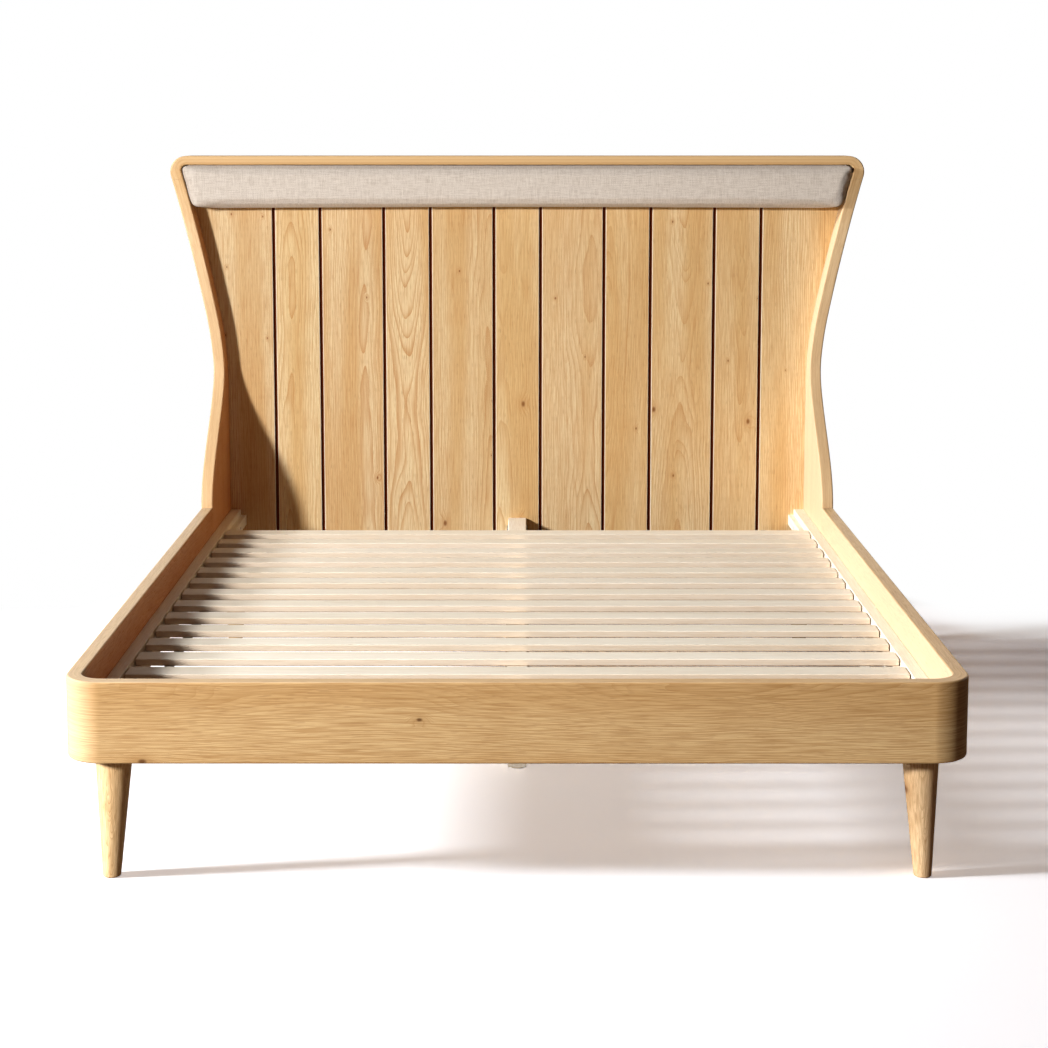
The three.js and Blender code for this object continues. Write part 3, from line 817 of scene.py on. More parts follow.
@dataclass(frozen=True)
class WoodFinish:
    """One kind of wood, sawn and lightly oiled. Lengths are in metres."""

    name: str
    slot: Slot
    light: Colour
    mid: Colour
    line: Colour
    pore: Colour
    knot: Colour
    # Painted light: the colours mixed in as painted shade and as painted highlight
    stained: Colour
    pale: Colour
    ring_spacing: float
    line_share: float
    pore_share: float
    fibre_share: float
    knot_share: float
    tone_spread: float
    roughness: float
    gloss: float = 0.12
    pith_spread: float = 0.16
    pith_depth: float = 0.03

    def material(self, source: GrainSource = GrainSource.MESH) -> bpy.types.Material:
        """Builds the wood's shader.

        Args:
            source: where the grain coordinates come from.

        Returns:
            The material.
        """
        g = Graph(f"{self.name}_{source.value}")
        along, across, depth, board = source.read(g)
        chance = g.add("ShaderNodeTexWhiteNoise", noise_dimensions="1D")
        g.feed(chance.inputs["W"], board)
        luck = g.split(chance.outputs["Color"])
        shifted = g.total(along, g.times(board, FIGURE.board_step[0]))
        place = g.vector(shifted, g.total(across, g.times(board, FIGURE.board_step[1])), depth)
        core, halo = self.knots(g, place)
        bend = g.swing(g.noise(place, FIGURE.ripple_scale), FIGURE.ripple)

        # The log's axis drifts behind the face, so that its rings are cut into arches
        side = g.total(across, g.swing(luck[0], self.pith_spread),
                       g.swing(g.noise(place, FIGURE.sway_scale, 0.0), FIGURE.sway))
        below = g.total(depth, self.pith_depth, g.times(luck[1], self.pith_depth),
                        g.swing(g.noise(place, FIGURE.drift_scale, 0.0), FIGURE.drift),
                        g.times(along, g.swing(luck[2], FIGURE.lean)))
        radius = g.total(g.math("SQRT", g.total(g.times(side, side), g.times(below, below))), bend,
                         g.swing(g.noise(place, FIGURE.wiggle_scale), FIGURE.wiggle),
                         g.times(halo, FIGURE.knot_push))
        phase, line = self.rings(g, place, radius, board)

        flow = g.vector(shifted, g.total(across, bend), depth)
        fibre = g.noise(flow, FIGURE.fibre_scale)
        grit = g.noise(flow, FIGURE.grit_scale, 0.0)
        early = g.fade(phase, *FIGURE.early_wood, 1.0, FIGURE.late_pores)
        pore = g.times(g.fade(grit, *FIGURE.pore_fade), early)
        cloud = g.noise(place, FIGURE.cloud_scale)

        wood = g.mix(g.fade(g.noise(place, FIGURE.streak_scale), *FIGURE.streak_fade), self.light, self.mid)
        for share, stain in (
                (g.times(line, self.line_share), self.line),
                (g.times(g.fade(fibre, *FIGURE.fibre_fade), self.fibre_share), self.line),
                (g.times(pore, self.pore_share), self.pore),
                (g.times(halo, FIGURE.halo_share), self.line),
                (g.times(core, FIGURE.core_share), self.knot)):
            wood = g.mix(share, wood, stain)
        shade = g.add("ShaderNodeHueSaturation")
        g.feed(shade.inputs["Hue"], g.total(NO_HUE_SHIFT, g.swing(luck[1], FIGURE.hue_spread)))
        g.feed(shade.inputs["Value"], g.total(
            1.0, g.swing(luck[0], self.tone_spread), g.swing(cloud, FIGURE.cloud_tone)))
        g.feed(shade.inputs["Color"], wood)
        # Painted light: a pale colour is mixed in as a painted highlight where the attribute is below 0,
        # and a dark colour as painted shade where it is above 0
        wear = g.attribute("wear").outputs["Fac"]
        painted_highlit = g.mix(g.times(wear, -1.0), shade.outputs[0], self.pale)
        g.dress(
            base_color=g.mix(g.math("MAXIMUM", wear, 0.0), painted_highlit, self.stained),
            roughness=g.total(self.roughness, g.times(pore, FIGURE.pore_roughness),
                              g.swing(cloud, FIGURE.cloud_roughness)),
            ior=OIL_IOR, specular_ior_level=self.gloss)
        height = g.math("SUBTRACT", g.times(fibre, FIGURE.fibre_relief), g.times(grit, FIGURE.grit_relief))
        g.bump(height, FIGURE.relief, FIGURE.relief_share)
        return g.material

    def knots(self, g: Graph, place: Socket) -> tuple[Socket, Socket]:
        """Lays out the knots: ovals of hard dark wood, each in a halo that pushes the rings aside.

        Args:
            g: the material's graph.
            place: where to read them.

        Returns:
            How far a place is in a knot's core and in its halo, 0 to 1.
        """
        cells = g.add("ShaderNodeTexVoronoi", voronoi_dimensions="2D", feature="F1")
        g.feed(cells.inputs["Vector"], g.stretch(place, *FIGURE.knot_cells))
        g.feed(cells.inputs["Scale"], 1.0)
        pick = g.split(cells.outputs["Color"])
        chosen = g.math("GREATER_THAN", pick[0], 1.0 - self.knot_share)
        least, spread = FIGURE.knot_size
        size = g.total(least, g.times(pick[1], pick[1], spread))
        reach = g.math("DIVIDE", cells.outputs["Distance"], size)
        core, halo = (g.times(chosen, g.fade(reach, *span, 1.0, 0.0))
                      for span in (FIGURE.knot_core, FIGURE.knot_halo))
        return core, halo

    def rings(self, g: Graph, place: Socket, radius: Socket, board: object) -> tuple[Socket, Socket]:
        """Lays out the growth rings, in good and lean years, fainter where the wood is plain.

        Args:
            g: the material's graph.
            place: where to read them.
            radius: distance from the log's axis.
            board: the board's number.

        Returns:
            How far a place is through its year's ring, and how strong the ring's dark line is there.
        """
        years = g.noise(g.vector(radius, board, 0.0), FIGURE.year_scale)
        phase = g.math("FRACT", g.total(g.times(radius, 1.0 / self.ring_spacing),
                                        g.times(years, FIGURE.year_spread)))
        plainness = g.noise(place, FIGURE.plain_scale, 0.0)
        line = g.times(g.math("POWER", phase, FIGURE.line_power),
                       g.fade(plainness, *FIGURE.plain_fade, FIGURE.plain_least, 1.0))
        return phase, line


@dataclass(frozen=True)
class LinenFinish:
    """Plain-woven linen of uneven yarns. Lengths are in metres."""

    name: str
    slot: Slot
    light: Colour
    dark: Colour
    yarn_pitch: float = 0.0011
    slub_scales: tuple[Pair, Pair] = ((22.0, 560.0), (36.0, 380.0))
    slub_middle: float = 0.57
    slub_contrast: float = 2.0
    weave_contrast: float = 0.30
    fuzz_scale: Triple = (800.0, 800.0, 1.0)
    fuzz_contrast: float = 0.6
    fuzz_roughness: float = 0.1
    mottle_scale: Triple = (40.0, 40.0, 1.0)
    mottle_layers: Pair = (2.0, 0.6)
    mottle_contrast: float = 0.1
    darkness: float = 0.45
    roughness: float = 0.88
    sheen: float = 0.25
    sheen_roughness: float = 0.5
    weave_relief: float = 0.35
    slub_relief: float = 0.8
    fuzz_relief: float = 0.3
    relief: float = 0.0006
    relief_share: float = 0.6

    def material(self) -> bpy.types.Material:
        """Builds the cloth's shader.

        Returns:
            The material.
        """
        g = Graph(self.name)
        along, across, _, _ = GrainSource.MESH.read(g)
        place = g.vector(along, across, 0.0)
        turns = 2 * math.pi / self.yarn_pitch
        weave = g.times(g.math("SINE", g.times(across, turns)), g.math("SINE", g.times(along, turns)))
        weft = g.math("MAXIMUM", *(g.noise(place, (a, b, 1.0)) for a, b in self.slub_scales))
        warp = g.math("MAXIMUM", *(g.noise(place, (b, a, 1.0)) for a, b in self.slub_scales))
        fuzz = g.noise(place, self.fuzz_scale)
        mottle = g.noise(place, self.mottle_scale, *self.mottle_layers)
        slub = g.total(g.times(weft, 0.5), g.times(warp, 0.5))
        depth = g.total(
            g.times(g.math("SUBTRACT", slub, self.slub_middle), self.slub_contrast),
            g.times(weave, self.weave_contrast), g.swing(fuzz, self.fuzz_contrast),
            g.swing(mottle, self.mottle_contrast), self.darkness)
        g.dress(base_color=g.mix(g.fade(depth, 0.0, 1.0), self.light, self.dark),
                roughness=g.total(self.roughness, g.times(fuzz, self.fuzz_roughness)),
                sheen_weight=self.sheen, sheen_roughness=self.sheen_roughness)
        height = g.total(g.times(weave, self.weave_relief), g.times(slub, self.slub_relief),
                         g.times(fuzz, self.fuzz_relief))
        g.bump(height, self.relief, self.relief_share)
        return g.material


@dataclass(frozen=True)
class TapeFinish:
    """Woven cotton tape with a twill rib."""

    name: str
    slot: Slot
    light: Colour
    dark: Colour
    rib_pitch: float = 0.0022
    dirt_scale: Triple = (30.0, 90.0, 1.0)
    dirt_detail: float = 3.0
    dirt_share: float = 0.25
    dirt_roughness: float = 0.1
    roughness: float = 0.85
    relief: float = 0.0003
    relief_share: float = 0.6

    def material(self) -> bpy.types.Material:
        """Builds the tape's shader.

        Returns:
            The material.
        """
        g = Graph(self.name)
        along, across, _, _ = GrainSource.MESH.read(g)
        folded = g.math("ABSOLUTE", across)
        twill = g.math("SINE", g.times(g.total(along, folded), 2 * math.pi / self.rib_pitch))
        dirt = g.noise(g.vector(along, across, 0.0), self.dirt_scale, self.dirt_detail)
        ground = g.mix(g.fade(twill, -1.0, 1.0), self.dark, self.light)
        g.dress(base_color=g.mix(g.times(dirt, self.dirt_share), ground, self.dark),
                roughness=g.total(self.roughness, g.times(dirt, self.dirt_roughness)))
        g.bump(twill, self.relief, self.relief_share)
        return g.material


@dataclass(frozen=True)
class SteelFinish:
    """Zinc-plated steel with drawn lines and light handling marks."""

    name: str
    slot: Slot
    bright: Colour
    dull: Colour
    drawn_scale: Triple = (300.0, 12.0, 900.0)
    drawn_detail: float = 2.0
    drawn_roughness: float = 0.14
    spangle_scale: Triple = (120.0, 120.0, 120.0)
    spangle_detail: float = 3.0
    spangle_fade: Pair = (0.3, 0.7)
    spangle_roughness: float = 0.12
    roughness: float = 0.26
    relief: float = 0.00005
    relief_share: float = 0.4

    def material(self) -> bpy.types.Material:
        """Builds the steel's shader.

        Returns:
            The material.
        """
        g = Graph(self.name)
        place = g.add("ShaderNodeTexCoord").outputs["Object"]
        drawn = g.noise(place, self.drawn_scale, self.drawn_detail)
        spangle = g.noise(place, self.spangle_scale, self.spangle_detail)
        g.dress(base_color=g.mix(g.fade(spangle, *self.spangle_fade), self.bright, self.dull), metallic=1.0,
                roughness=g.total(self.roughness, g.times(drawn, self.drawn_roughness),
                                  g.times(spangle, self.spangle_roughness)))
        g.bump(drawn, self.relief, self.relief_share)
        return g.material


@dataclass(frozen=True)
class PlyFinish:
    """Birch plywood: pale faces, and thin layers of turned grain on its edges. Lengths are in metres."""

    name: str
    slot: Slot
    face: Colour
    dark: Colour
    ply: float = 0.0014
    ply_share: float = 0.35
    ply_fade: Pair = (-0.25, 0.25)
    ply_relief: float = 0.3
    fibre_scale: Triple = (8.0, 500.0, 260.0)
    fibre_detail: float = 3.0
    fibre_fade: Pair = (0.4, 0.7)
    fibre_share: float = 0.35
    cloud_scale: Triple = (3.0, 3.0, 12.0)
    cloud_detail: float = 2.0
    cloud_roughness: float = 0.15
    roughness: float = 0.6
    relief: float = 0.0002
    relief_share: float = 0.5

    def material(self) -> bpy.types.Material:
        """Builds the plywood's shader.

        Returns:
            The material.
        """
        g = Graph(self.name)
        place = g.add("ShaderNodeTexCoord").outputs["Object"]
        layer = g.fade(g.math("SINE", g.times(g.split(place)[1], math.pi / self.ply)), *self.ply_fade)
        fibre = g.noise(place, self.fibre_scale, self.fibre_detail)
        cloud = g.noise(place, self.cloud_scale, self.cloud_detail)
        ground = g.mix(g.times(layer, self.ply_share), self.face, self.dark)
        strands = g.times(g.fade(fibre, *self.fibre_fade), self.fibre_share)
        g.dress(base_color=g.mix(strands, ground, self.dark),
                roughness=g.total(self.roughness, g.times(cloud, self.cloud_roughness)))
        g.bump(g.total(fibre, g.times(layer, self.ply_relief)), self.relief, self.relief_share)
        return g.material


@dataclass(frozen=True)
class NylonFinish:
    """Moulded nylon with a fine spark-eroded surface."""

    name: str
    slot: Slot
    base: Colour
    scuffed: Colour
    pebble_scale: Triple = (1500.0, 1500.0, 1500.0)
    pebble_detail: float = 2.0
    pebble_roughness: float = 0.16
    scuff_scale: Triple = (160.0, 160.0, 160.0)
    scuff_detail: float = 3.0
    scuff_fade: Pair = (0.55, 0.75)
    scuff_roughness: float = 0.1
    roughness: float = 0.42
    relief: float = 0.0001
    relief_share: float = 0.5

    def material(self) -> bpy.types.Material:
        """Builds the nylon's shader.

        Returns:
            The material.
        """
        g = Graph(self.name)
        place = g.add("ShaderNodeTexCoord").outputs["Object"]
        pebble = g.noise(place, self.pebble_scale, self.pebble_detail)
        scuff = g.noise(place, self.scuff_scale, self.scuff_detail)
        g.dress(base_color=g.mix(g.fade(scuff, *self.scuff_fade), self.base, self.scuffed),
                roughness=g.total(self.roughness, g.times(pebble, self.pebble_roughness),
                                  g.times(scuff, self.scuff_roughness)))
        g.bump(pebble, self.relief, self.relief_share)
        return g.material


# Each finish also names a colour for painted shade and one for painted highlight.
OAK = WoodFinish(
    name="oak", slot=Slot.OAK, light=colour(203, 170, 126), mid=colour(192, 155, 109),
    line=colour(168, 121, 72), pore=colour(142, 94, 50), knot=colour(104, 60, 28),
    stained=colour(150, 70, 24), pale=colour(250, 232, 202), ring_spacing=0.0050, line_share=0.75,
    pore_share=0.28, fibre_share=0.50, knot_share=0.06, tone_spread=0.06, roughness=0.42)
RAIL_OAK = replace(
    OAK, name="rail_oak", light=colour(203, 168, 121), mid=colour(192, 153, 105),
    line=colour(156, 112, 66), pore=colour(120, 78, 42), knot=colour(84, 46, 22),
    ring_spacing=0.0036, line_share=0.62, pore_share=0.26, fibre_share=0.60)
LEG_OAK = replace(OAK, name="leg_oak", light=colour(232, 201, 156), mid=colour(220, 182, 134))
BOARD_OAK = replace(
    OAK, name="board_oak", light=colour(236, 212, 166), mid=colour(220, 184, 129),
    line=colour(194, 140, 84), pore=colour(156, 104, 58), knot=colour(128, 72, 32),
    stained=colour(120, 54, 16), pale=colour(255, 244, 222), ring_spacing=0.0058, line_share=0.85,
    pore_share=0.32, knot_share=0.26, tone_spread=0.10, roughness=0.45, pith_spread=0.20)
PINE = WoodFinish(
    name="pine", slot=Slot.PINE, light=colour(247, 238, 220), mid=colour(241, 230, 209),
    line=colour(216, 195, 166), pore=colour(204, 178, 148), knot=colour(160, 116, 76),
    stained=colour(158, 122, 88), pale=colour(250, 242, 230), ring_spacing=0.0040, line_share=0.42,
    pore_share=0.12, fibre_share=0.35, knot_share=0.02, tone_spread=0.06, roughness=0.55, gloss=0.25)
LINEN = LinenFinish(name="linen", slot=Slot.LINEN, light=colour(233, 223, 211), dark=colour(189, 174, 159))
TAPE = TapeFinish(name="tape", slot=Slot.WEBBING, light=colour(226, 220, 208), dark=colour(190, 181, 166))
STEEL = SteelFinish(name="steel", slot=Slot.STEEL, bright=colour(196, 198, 202), dull=colour(158, 161, 166))
PLYWOOD = PlyFinish(
    name="plywood", slot=Slot.PLYWOOD, face=colour(214, 186, 146), dark=colour(158, 120, 78))
NYLON = NylonFinish(
    name="nylon", slot=Slot.NYLON, base=colour(240, 228, 208), scuffed=colour(214, 200, 178))


# On carried nodes, points nearer than this are made one, and edges sharper than this are rounded
WELD_REACH = 0.00001
SHARP_EDGE = math.radians(40)


@dataclass(frozen=True)
class Coat:
    """A finish made up as a material, with the record's material slot that it belongs to."""

    slot: Slot
    material: bpy.types.Material


@dataclass
class Assembly:
    """Pieces that are made and dressed together."""

    sizes: BedSizes
    coats: dict[str, Coat]
    body: Body = Body.FRAME

    def lay_coat(self, piece: Piece, key: str) -> Coat:
        """Gives a piece its material.

        Args:
            piece: the piece.
            key: key of its coat.

        Returns:
            The coat.
        """
        piece.data.materials.clear()
        piece.data.materials.append(self.coats[key].material)
        return self.coats[key]

    def place(self, piece: Piece, key: str, *nodes: str) -> None:
        """Gives a piece its finish, its body and the nodes that it stands for.

        Args:
            piece: the piece, already in its place.
            key: key of its coat.
            nodes: CAD nodes that it stands for.
        """
        coat = self.lay_coat(piece, key)
        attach(piece, self.body.value)
        if nodes:
            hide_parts(*nodes)
        log.info("%s: %d faces, %s", piece.name, len(piece.data.polygons), key)

    def carry(self, node: str, key: str, bevel: float) -> None:
        """Gives a carried CAD node its finish and rounds its edges.

        Args:
            node: the node's name.
            key: key of its coat.
            bevel: rounding of its edges.
        """
        piece = frame["nodes"][node]
        coat = self.lay_coat(piece, key)
        piece.modifiers.new("weld", "WELD").merge_threshold = WELD_REACH
        rounding = piece.modifiers.new("rounding", "BEVEL")
        rounding.width = bevel
        rounding.segments = 2
        rounding.limit_method = "ANGLE"
        rounding.angle_limit = SHARP_EDGE
        log.info("%s: carried node, %s of slot %s", node, key, coat.slot.value)

    def drive_screws(self, owner: str, places: Sequence[tuple[Vector, Vector]], radius: float) -> None:
        """Drives screws through their owner, each at a place and facing a way, with heads of a radius."""
        self.place(ScrewHead(radius).make(f"{owner}_screws", places), "steel")


@dataclass
class BedFrame(Assembly):
    """The foot rail with its two round corners, and the side rails."""

    corner_steps: int = 24
    top_skin: float = 0.0012
    inner_margin: float = 0.0045
    foot_margin: float = 0.035
    # Painted light on the rails: painted highlight on their tops, at the left corner and inside on the
    # right, painted shade inside on the left
    top_wear: dict[Side, float] = field(default_factory=lambda: {Side.LEFT: -0.25, Side.RIGHT: -0.08})
    inner_wear: dict[Side, float] = field(default_factory=lambda: {Side.LEFT: 0.35, Side.RIGHT: -0.32})
    corner_wear: float = -0.28
    corner_start: float = 0.75
    corner_fade: float = 0.06

    def build(self) -> None:
        """Builds and dresses the rails."""
        self.build_foot_rail()
        for side in Side:
            self.build_side_rail(side)

    def path_grain(self) -> GrainOf:
        """Grain that follows the frame round its corners, from the middle of the foot rail.

        Returns:
            A function from a place on the frame to its grain coordinates.
        """
        s = self.sizes
        corner_x, corner_y = s.foot_corner
        bend = s.foot_bend
        middle = s.rail_underside + s.rail_height / 2

        def grain(point: Vector, normal: Vector) -> Vector:
            """Grain coordinates at a place on the frame.

            Args:
                point: the place.
                normal: the face's normal there; not used.

            Returns:
                The coordinates.
            """
            sign = 1.0 if point.x >= 0 else -1.0
            x, y = abs(point.x) - corner_x, point.y - corner_y
            if x <= 0:
                return Vector((point.x, point.z - middle, -y - bend))
            if y >= 0:
                along = corner_x + bend * math.pi / 2 + y
                return Vector((sign * along, point.z - middle, x - bend))
            along = corner_x + bend * math.atan2(x, -y)
            return Vector((sign * along, point.z - middle, math.hypot(x, y) - bend))

        return grain

    def wear(self, point: Vector) -> float:
        """Painted light on the rails: a painted highlight on top, at the left corner and inside on the
        right, and painted shade inside on the left.

        Args:
            point: the place.

        Returns:
            The painted shading, as make_piece takes it.
        """
        s = self.sizes
        side = Side.LEFT if point.x < 0 else Side.RIGHT
        if point.z > s.rail_top - self.top_skin:
            return self.top_wear[side]
        if abs(point.x) > s.half_space + self.inner_margin or point.y < s.front_y + self.foot_margin:
            return self.corner_wear * limited((-point.x - self.corner_start) / self.corner_fade)
        return self.inner_wear[side]

    def section(self) -> Outline:
        """Draws the rails' section.

        Returns:
            Its points, with the thickness first and the height second.
        """
        s = self.sizes
        half = s.rail_thickness / 2
        return rounded_rectangle(-half, half, s.rail_underside, s.rail_top, s.edge_radius, s.edge_steps)

    def finish(self, node: str, name: str, shape: bmesh.types.BMesh) -> None:
        """Makes a rail of its shape, cut from the same board as the others, in place of its CAD node."""
        piece = make_piece(name, shape, self.path_grain(), board_seed("rails"), wear_of=self.wear)
        self.place(piece, "rail_oak", node)

    def build_foot_rail(self) -> None:
        """Bends the rail's section round the two foot corners."""
        s = self.sizes
        corner_x, corner_y = s.foot_corner
        bend = s.foot_bend

        def ring(side: int, angle: float, y: float) -> list[Vector]:
            """The section at one place on the path."""
            return [Vector((side * corner_x + (bend + out) * math.cos(angle),
                            y + (bend + out) * math.sin(angle), z)) for out, z in self.section()]

        rings = [ring(1, 0.0, corner_y + s.foot_return)]
        for side in (1, -1):
            for step in range(self.corner_steps + 1):
                turn = step / self.corner_steps * math.pi / 2
                rings.append(ring(side, -turn if side > 0 else -math.pi / 2 - turn, corner_y))
        rings.append(ring(-1, -math.pi, corner_y + s.foot_return))
        self.finish("foot_rail", "foot_rail_oak", skin(rings))

    def build_side_rail(self, side: Side) -> None:
        """Builds one side rail, whose grain carries on from the foot rail's.

        Args:
            side: which side of the bed.
        """
        s = self.sizes
        y0 = s.foot_corner[1] + s.foot_return + s.fit
        x = side.value * (s.half_space + s.rail_thickness / 2)
        section = [(x + out, z) for out, z in self.section()]
        shape = pull_along_y(section, y0, s.panel_base_y - s.fit)
        self.finish(f"side_rail_{side.word}", f"side_rail_oak_{side.word}", shape)


@dataclass
class Headboard(Assembly):
    """Side panels, the top band, the planks between them and the rails behind."""

    panel_rings: int = 110
    corner_steps: int = 16
    outer_plank_rings: int = 60
    plank_arris: float = 0.0024
    outer_arris: float = 0.0008
    groove_foot: float = 0.0005
    groove_cut: float = 0.010
    # Painted light on the planks: painted shade in the grooves, a painted highlight on the arrises beside
    # them
    groove_wear: float = 1.0
    arris_wear: float = -0.9
    # Painted light on the panels and band: a painted highlight on their fronts and inside on the right,
    # painted shade inside on the left, fading out near the top
    front_skin: float = 0.0012
    front_wear: float = -0.12
    inner_margin: float = 0.0045
    inner_wear: dict[Side, float] = field(default_factory=lambda: {Side.LEFT: 0.35, Side.RIGHT: -0.3})
    wear_top: float = 1.24
    wear_fade: float = 0.16
    lipping_offset: float = 0.2
    lipping_normal: float = -0.3
    face_skin: float = 0.0001
    groove_skin: float = 0.001
    batten_edge: float = 0.0012
    screw_radius: float = 0.0042
    screw_inset: float = 0.06
    screw_stagger: float = 0.16

    def build(self) -> None:
        """Builds and dresses the headboard."""
        for side in Side:
            self.build_panel(side)
        self.build_band()
        self.build_planks()
        self.build_battens()

    def build_panel(self, side: Side) -> None:
        """Builds a side panel: a board that sweeps forward at its base and leans out at its top.

        Args:
            side: which side of the bed.
        """
        s = self.sizes
        rings = []
        for step in range(self.panel_rings + 1):
            z = s.rail_underside + (s.panel_top - s.rail_underside) * step / self.panel_rings
            outline = rounded_rectangle(
                s.panel_inner_x(z), s.panel_outer_x(z), s.panel_front_y(z), s.back_y, s.edge_radius,
                s.edge_steps)
            rings.append([Vector((side.value * x, y, z)) for x, y in outline])

        def grain(point: Vector, normal: Vector) -> Vector:
            """Grain that runs up the board."""
            depth = abs(point.x) - s.panel_inner_x(point.z)
            return Vector((point.z, self.across_side(point, normal), depth))

        self.finish(f"side_panel_{side.word}", f"side_panel_oak_{side.word}", skin(rings), grain)

    def finish(self, node: str, name: str, shape: bmesh.types.BMesh, grain: GrainOf) -> None:
        """Makes a panel or the band of its shape and grain, all cut from one board, for its CAD node."""
        piece = make_piece(name, shape, grain, board_seed("headboard_sides"), wear_of=self.side_wear)
        self.place(piece, "oak", node)

    def side_wear(self, point: Vector) -> float:
        """Painted light on the panels: a painted highlight in front and inside on the right, and painted
        shade inside on the left.

        Args:
            point: the place.

        Returns:
            The painted shading, as make_piece takes it.
        """
        s = self.sizes
        fading = limited((self.wear_top - point.z) / self.wear_fade)
        if point.y < s.panel_front_y(point.z) + self.front_skin:
            return self.front_wear * fading
        if abs(point.x) > s.panel_inner_x(point.z) + self.inner_margin:
            return 0.0
        return self.inner_wear[Side.RIGHT if point.x > 0 else Side.LEFT] * fading

    def across_side(self, point: Vector, normal: Vector) -> float:
        """Where a place lies across the grain of the panels and the band, whose front is a lipping.

        Args:
            point: the place.
            normal: the face's normal there.

        Returns:
            The distance across the grain.
        """
        s = self.sizes
        if normal.y < self.lipping_normal:
            return point.y - s.panel_front_y(point.z) - self.lipping_offset
        return point.y - s.panel_base_y

    def band_side(self, face_x: Callable[[float], float], z: float, radius: float) -> list[Vector]:
        """One side of the band in the XZ plane, from its foot to the end of its round corner.

        Args:
            face_x: the X that its leg follows at a height.
            z: height of its level stretch.
            radius: radius of its corner.

        Returns:
            The points, each as X and Z.
        """
        s = self.sizes
        foot_z = s.panel_top + s.fit
        points = rounded_outline(
            [(face_x(foot_z), foot_z, 0.0), (face_x(z), z, radius), (0.0, z, 0.0)], self.corner_steps)
        return [Vector(point) for point in points[:-1]]

    def build_band(self) -> None:
        """Builds the top band with its two round corners."""
        s = self.sizes
        inner = self.band_side(s.panel_inner_x, s.band_underside, s.band_inner_radius)
        outer = self.band_side(s.panel_outer_x, s.bed_height, s.band_corner_radius)
        stations = list(zip(inner, outer))
        mirrored = [(Vector((-a.x, a.y)), Vector((-b.x, b.y))) for a, b in reversed(stations)]
        rings = []
        for a, b in stations + mirrored:
            across = (b - a).normalized()
            outline = rounded_rectangle(0.0, (b - a).length, s.face_y - s.panel_top_reach, s.back_y,
                                        s.edge_radius, s.edge_steps)
            rings.append([Vector((a.x + across.x * out, y, a.y + across.y * out)) for out, y in outline])
        turn_x = inner[-1].x
        turn_z = s.band_underside - s.band_inner_radius
        bend = s.band_corner_radius / 2

        def grain(point: Vector, normal: Vector) -> Vector:
            """Grain that carries on from the panels' and follows the band round its corners.

            Args:
                point: the place.
                normal: the face's normal there.

            Returns:
                The coordinates.
            """
            across = self.across_side(point, normal)
            x, z = abs(point.x) - turn_x, point.z - turn_z
            if z <= 0:
                return Vector((point.z, across, abs(point.x) - s.panel_inner_x(point.z)))
            if x <= 0:
                return Vector((turn_z + math.pi / 2 * bend - x, across, point.z - s.band_underside))
            depth = math.hypot(x, z) - s.band_inner_radius
            return Vector((turn_z + math.atan2(z, x) * bend, across, depth))

        self.finish("headboard_top_band", "headboard_top_band_oak", skin(rings), grain)

    def wall_x(self, z: float) -> float:
        """The wall that boards between the side panels follow, straight past the band's round corner.

        Args:
            z: height above the floor.

        Returns:
            The wall's X.
        """
        s = self.sizes
        inner = self.band_side(s.panel_inner_x, s.band_underside, s.band_inner_radius)
        low, high = inner[1], inner[-1]
        if z <= low.y:
            return s.panel_inner_x(z)
        return low.x + (high.x - low.x) * (z - low.y) / (high.y - low.y)

    def plank_section(self, x0: float, x1: float, joined_left: bool, joined_right: bool) -> Outline:
        """A plank's section: a rebate on each joined edge of its face, with an arris that catches light.

        The joined edges of two planks touch at the back of the groove.

        Args:
            x0: its left edge.
            x1: its right edge.
            joined_left: whether another plank meets its left edge.
            joined_right: whether another plank meets its right edge.

        Returns:
            The section's points, as X and Y.
        """
        s = self.sizes
        step_y = s.face_y + self.groove_cut
        back = s.face_y + s.plank_thickness
        half = s.groove_width / 2
        left, right = x0 + s.fit / 2, x1 + s.fit / 2
        corners: list[tuple[float, float, float]] = []
        if joined_left:
            corners += [(left, back, 0.0), (left, step_y, 0.0), (left + half, step_y, self.groove_foot),
                        (left + half, s.face_y, self.plank_arris)]
        else:
            corners += [(x0, back, 0.0), (x0, s.face_y, self.outer_arris)]
        if joined_right:
            corners += [(right - half, s.face_y, self.plank_arris),
                        (right - half, step_y, self.groove_foot), (right, step_y, 0.0), (right, back, 0.0)]
        else:
            corners += [(x1, s.face_y, self.outer_arris), (x1, back, 0.0)]
        return rounded_outline(corners, 3)

    def build_planks(self) -> None:
        """Builds the planks, narrow and wide in turn, the outer two cut to the side panels' curve."""
        s = self.sizes
        z0 = s.rail_underside + s.plank_end_above_underside
        z1 = s.band_underside - s.fit
        edges = s.plank_joints()
        for plank in range(len(edges) + 1):
            first, last = plank == 0, plank == len(edges)
            count = self.outer_plank_rings if first or last else 1
            rings = []
            for step in range(count + 1):
                z = z0 + (z1 - z0) * step / count
                wall = self.wall_x(z) - s.fit
                x0 = -wall if first else edges[plank - 1]
                x1 = wall if last else edges[plank]
                section = self.plank_section(x0, x1, not first, not last)
                rings.append([Vector((x, y, z)) for x, y in section])
            left, right = edges[max(plank - 1, 0)], edges[min(plank, len(edges) - 1)]
            grain = straight_grain(2, 0, 1, Vector(((left + right) / 2, s.face_y, 0.0)))
            node = f"headboard_plank_{plank + 1}"
            piece = make_piece(f"{node}_oak", skin(rings), grain, wear_of=self.plank_wear)
            self.place(piece, "board_oak", node)

    def plank_wear(self, point: Vector) -> float:
        """Painted shade darkens the grooves between the planks, and a painted highlight pales their
        arrises.

        Args:
            point: the place.

        Returns:
            The painted shading, as make_piece takes it.
        """
        depth = point.y - self.sizes.face_y
        if self.plank_arris - self.face_skin < depth < self.groove_cut + self.groove_skin:
            return self.groove_wear
        return self.arris_wear if self.face_skin < depth < self.plank_arris else 0.0

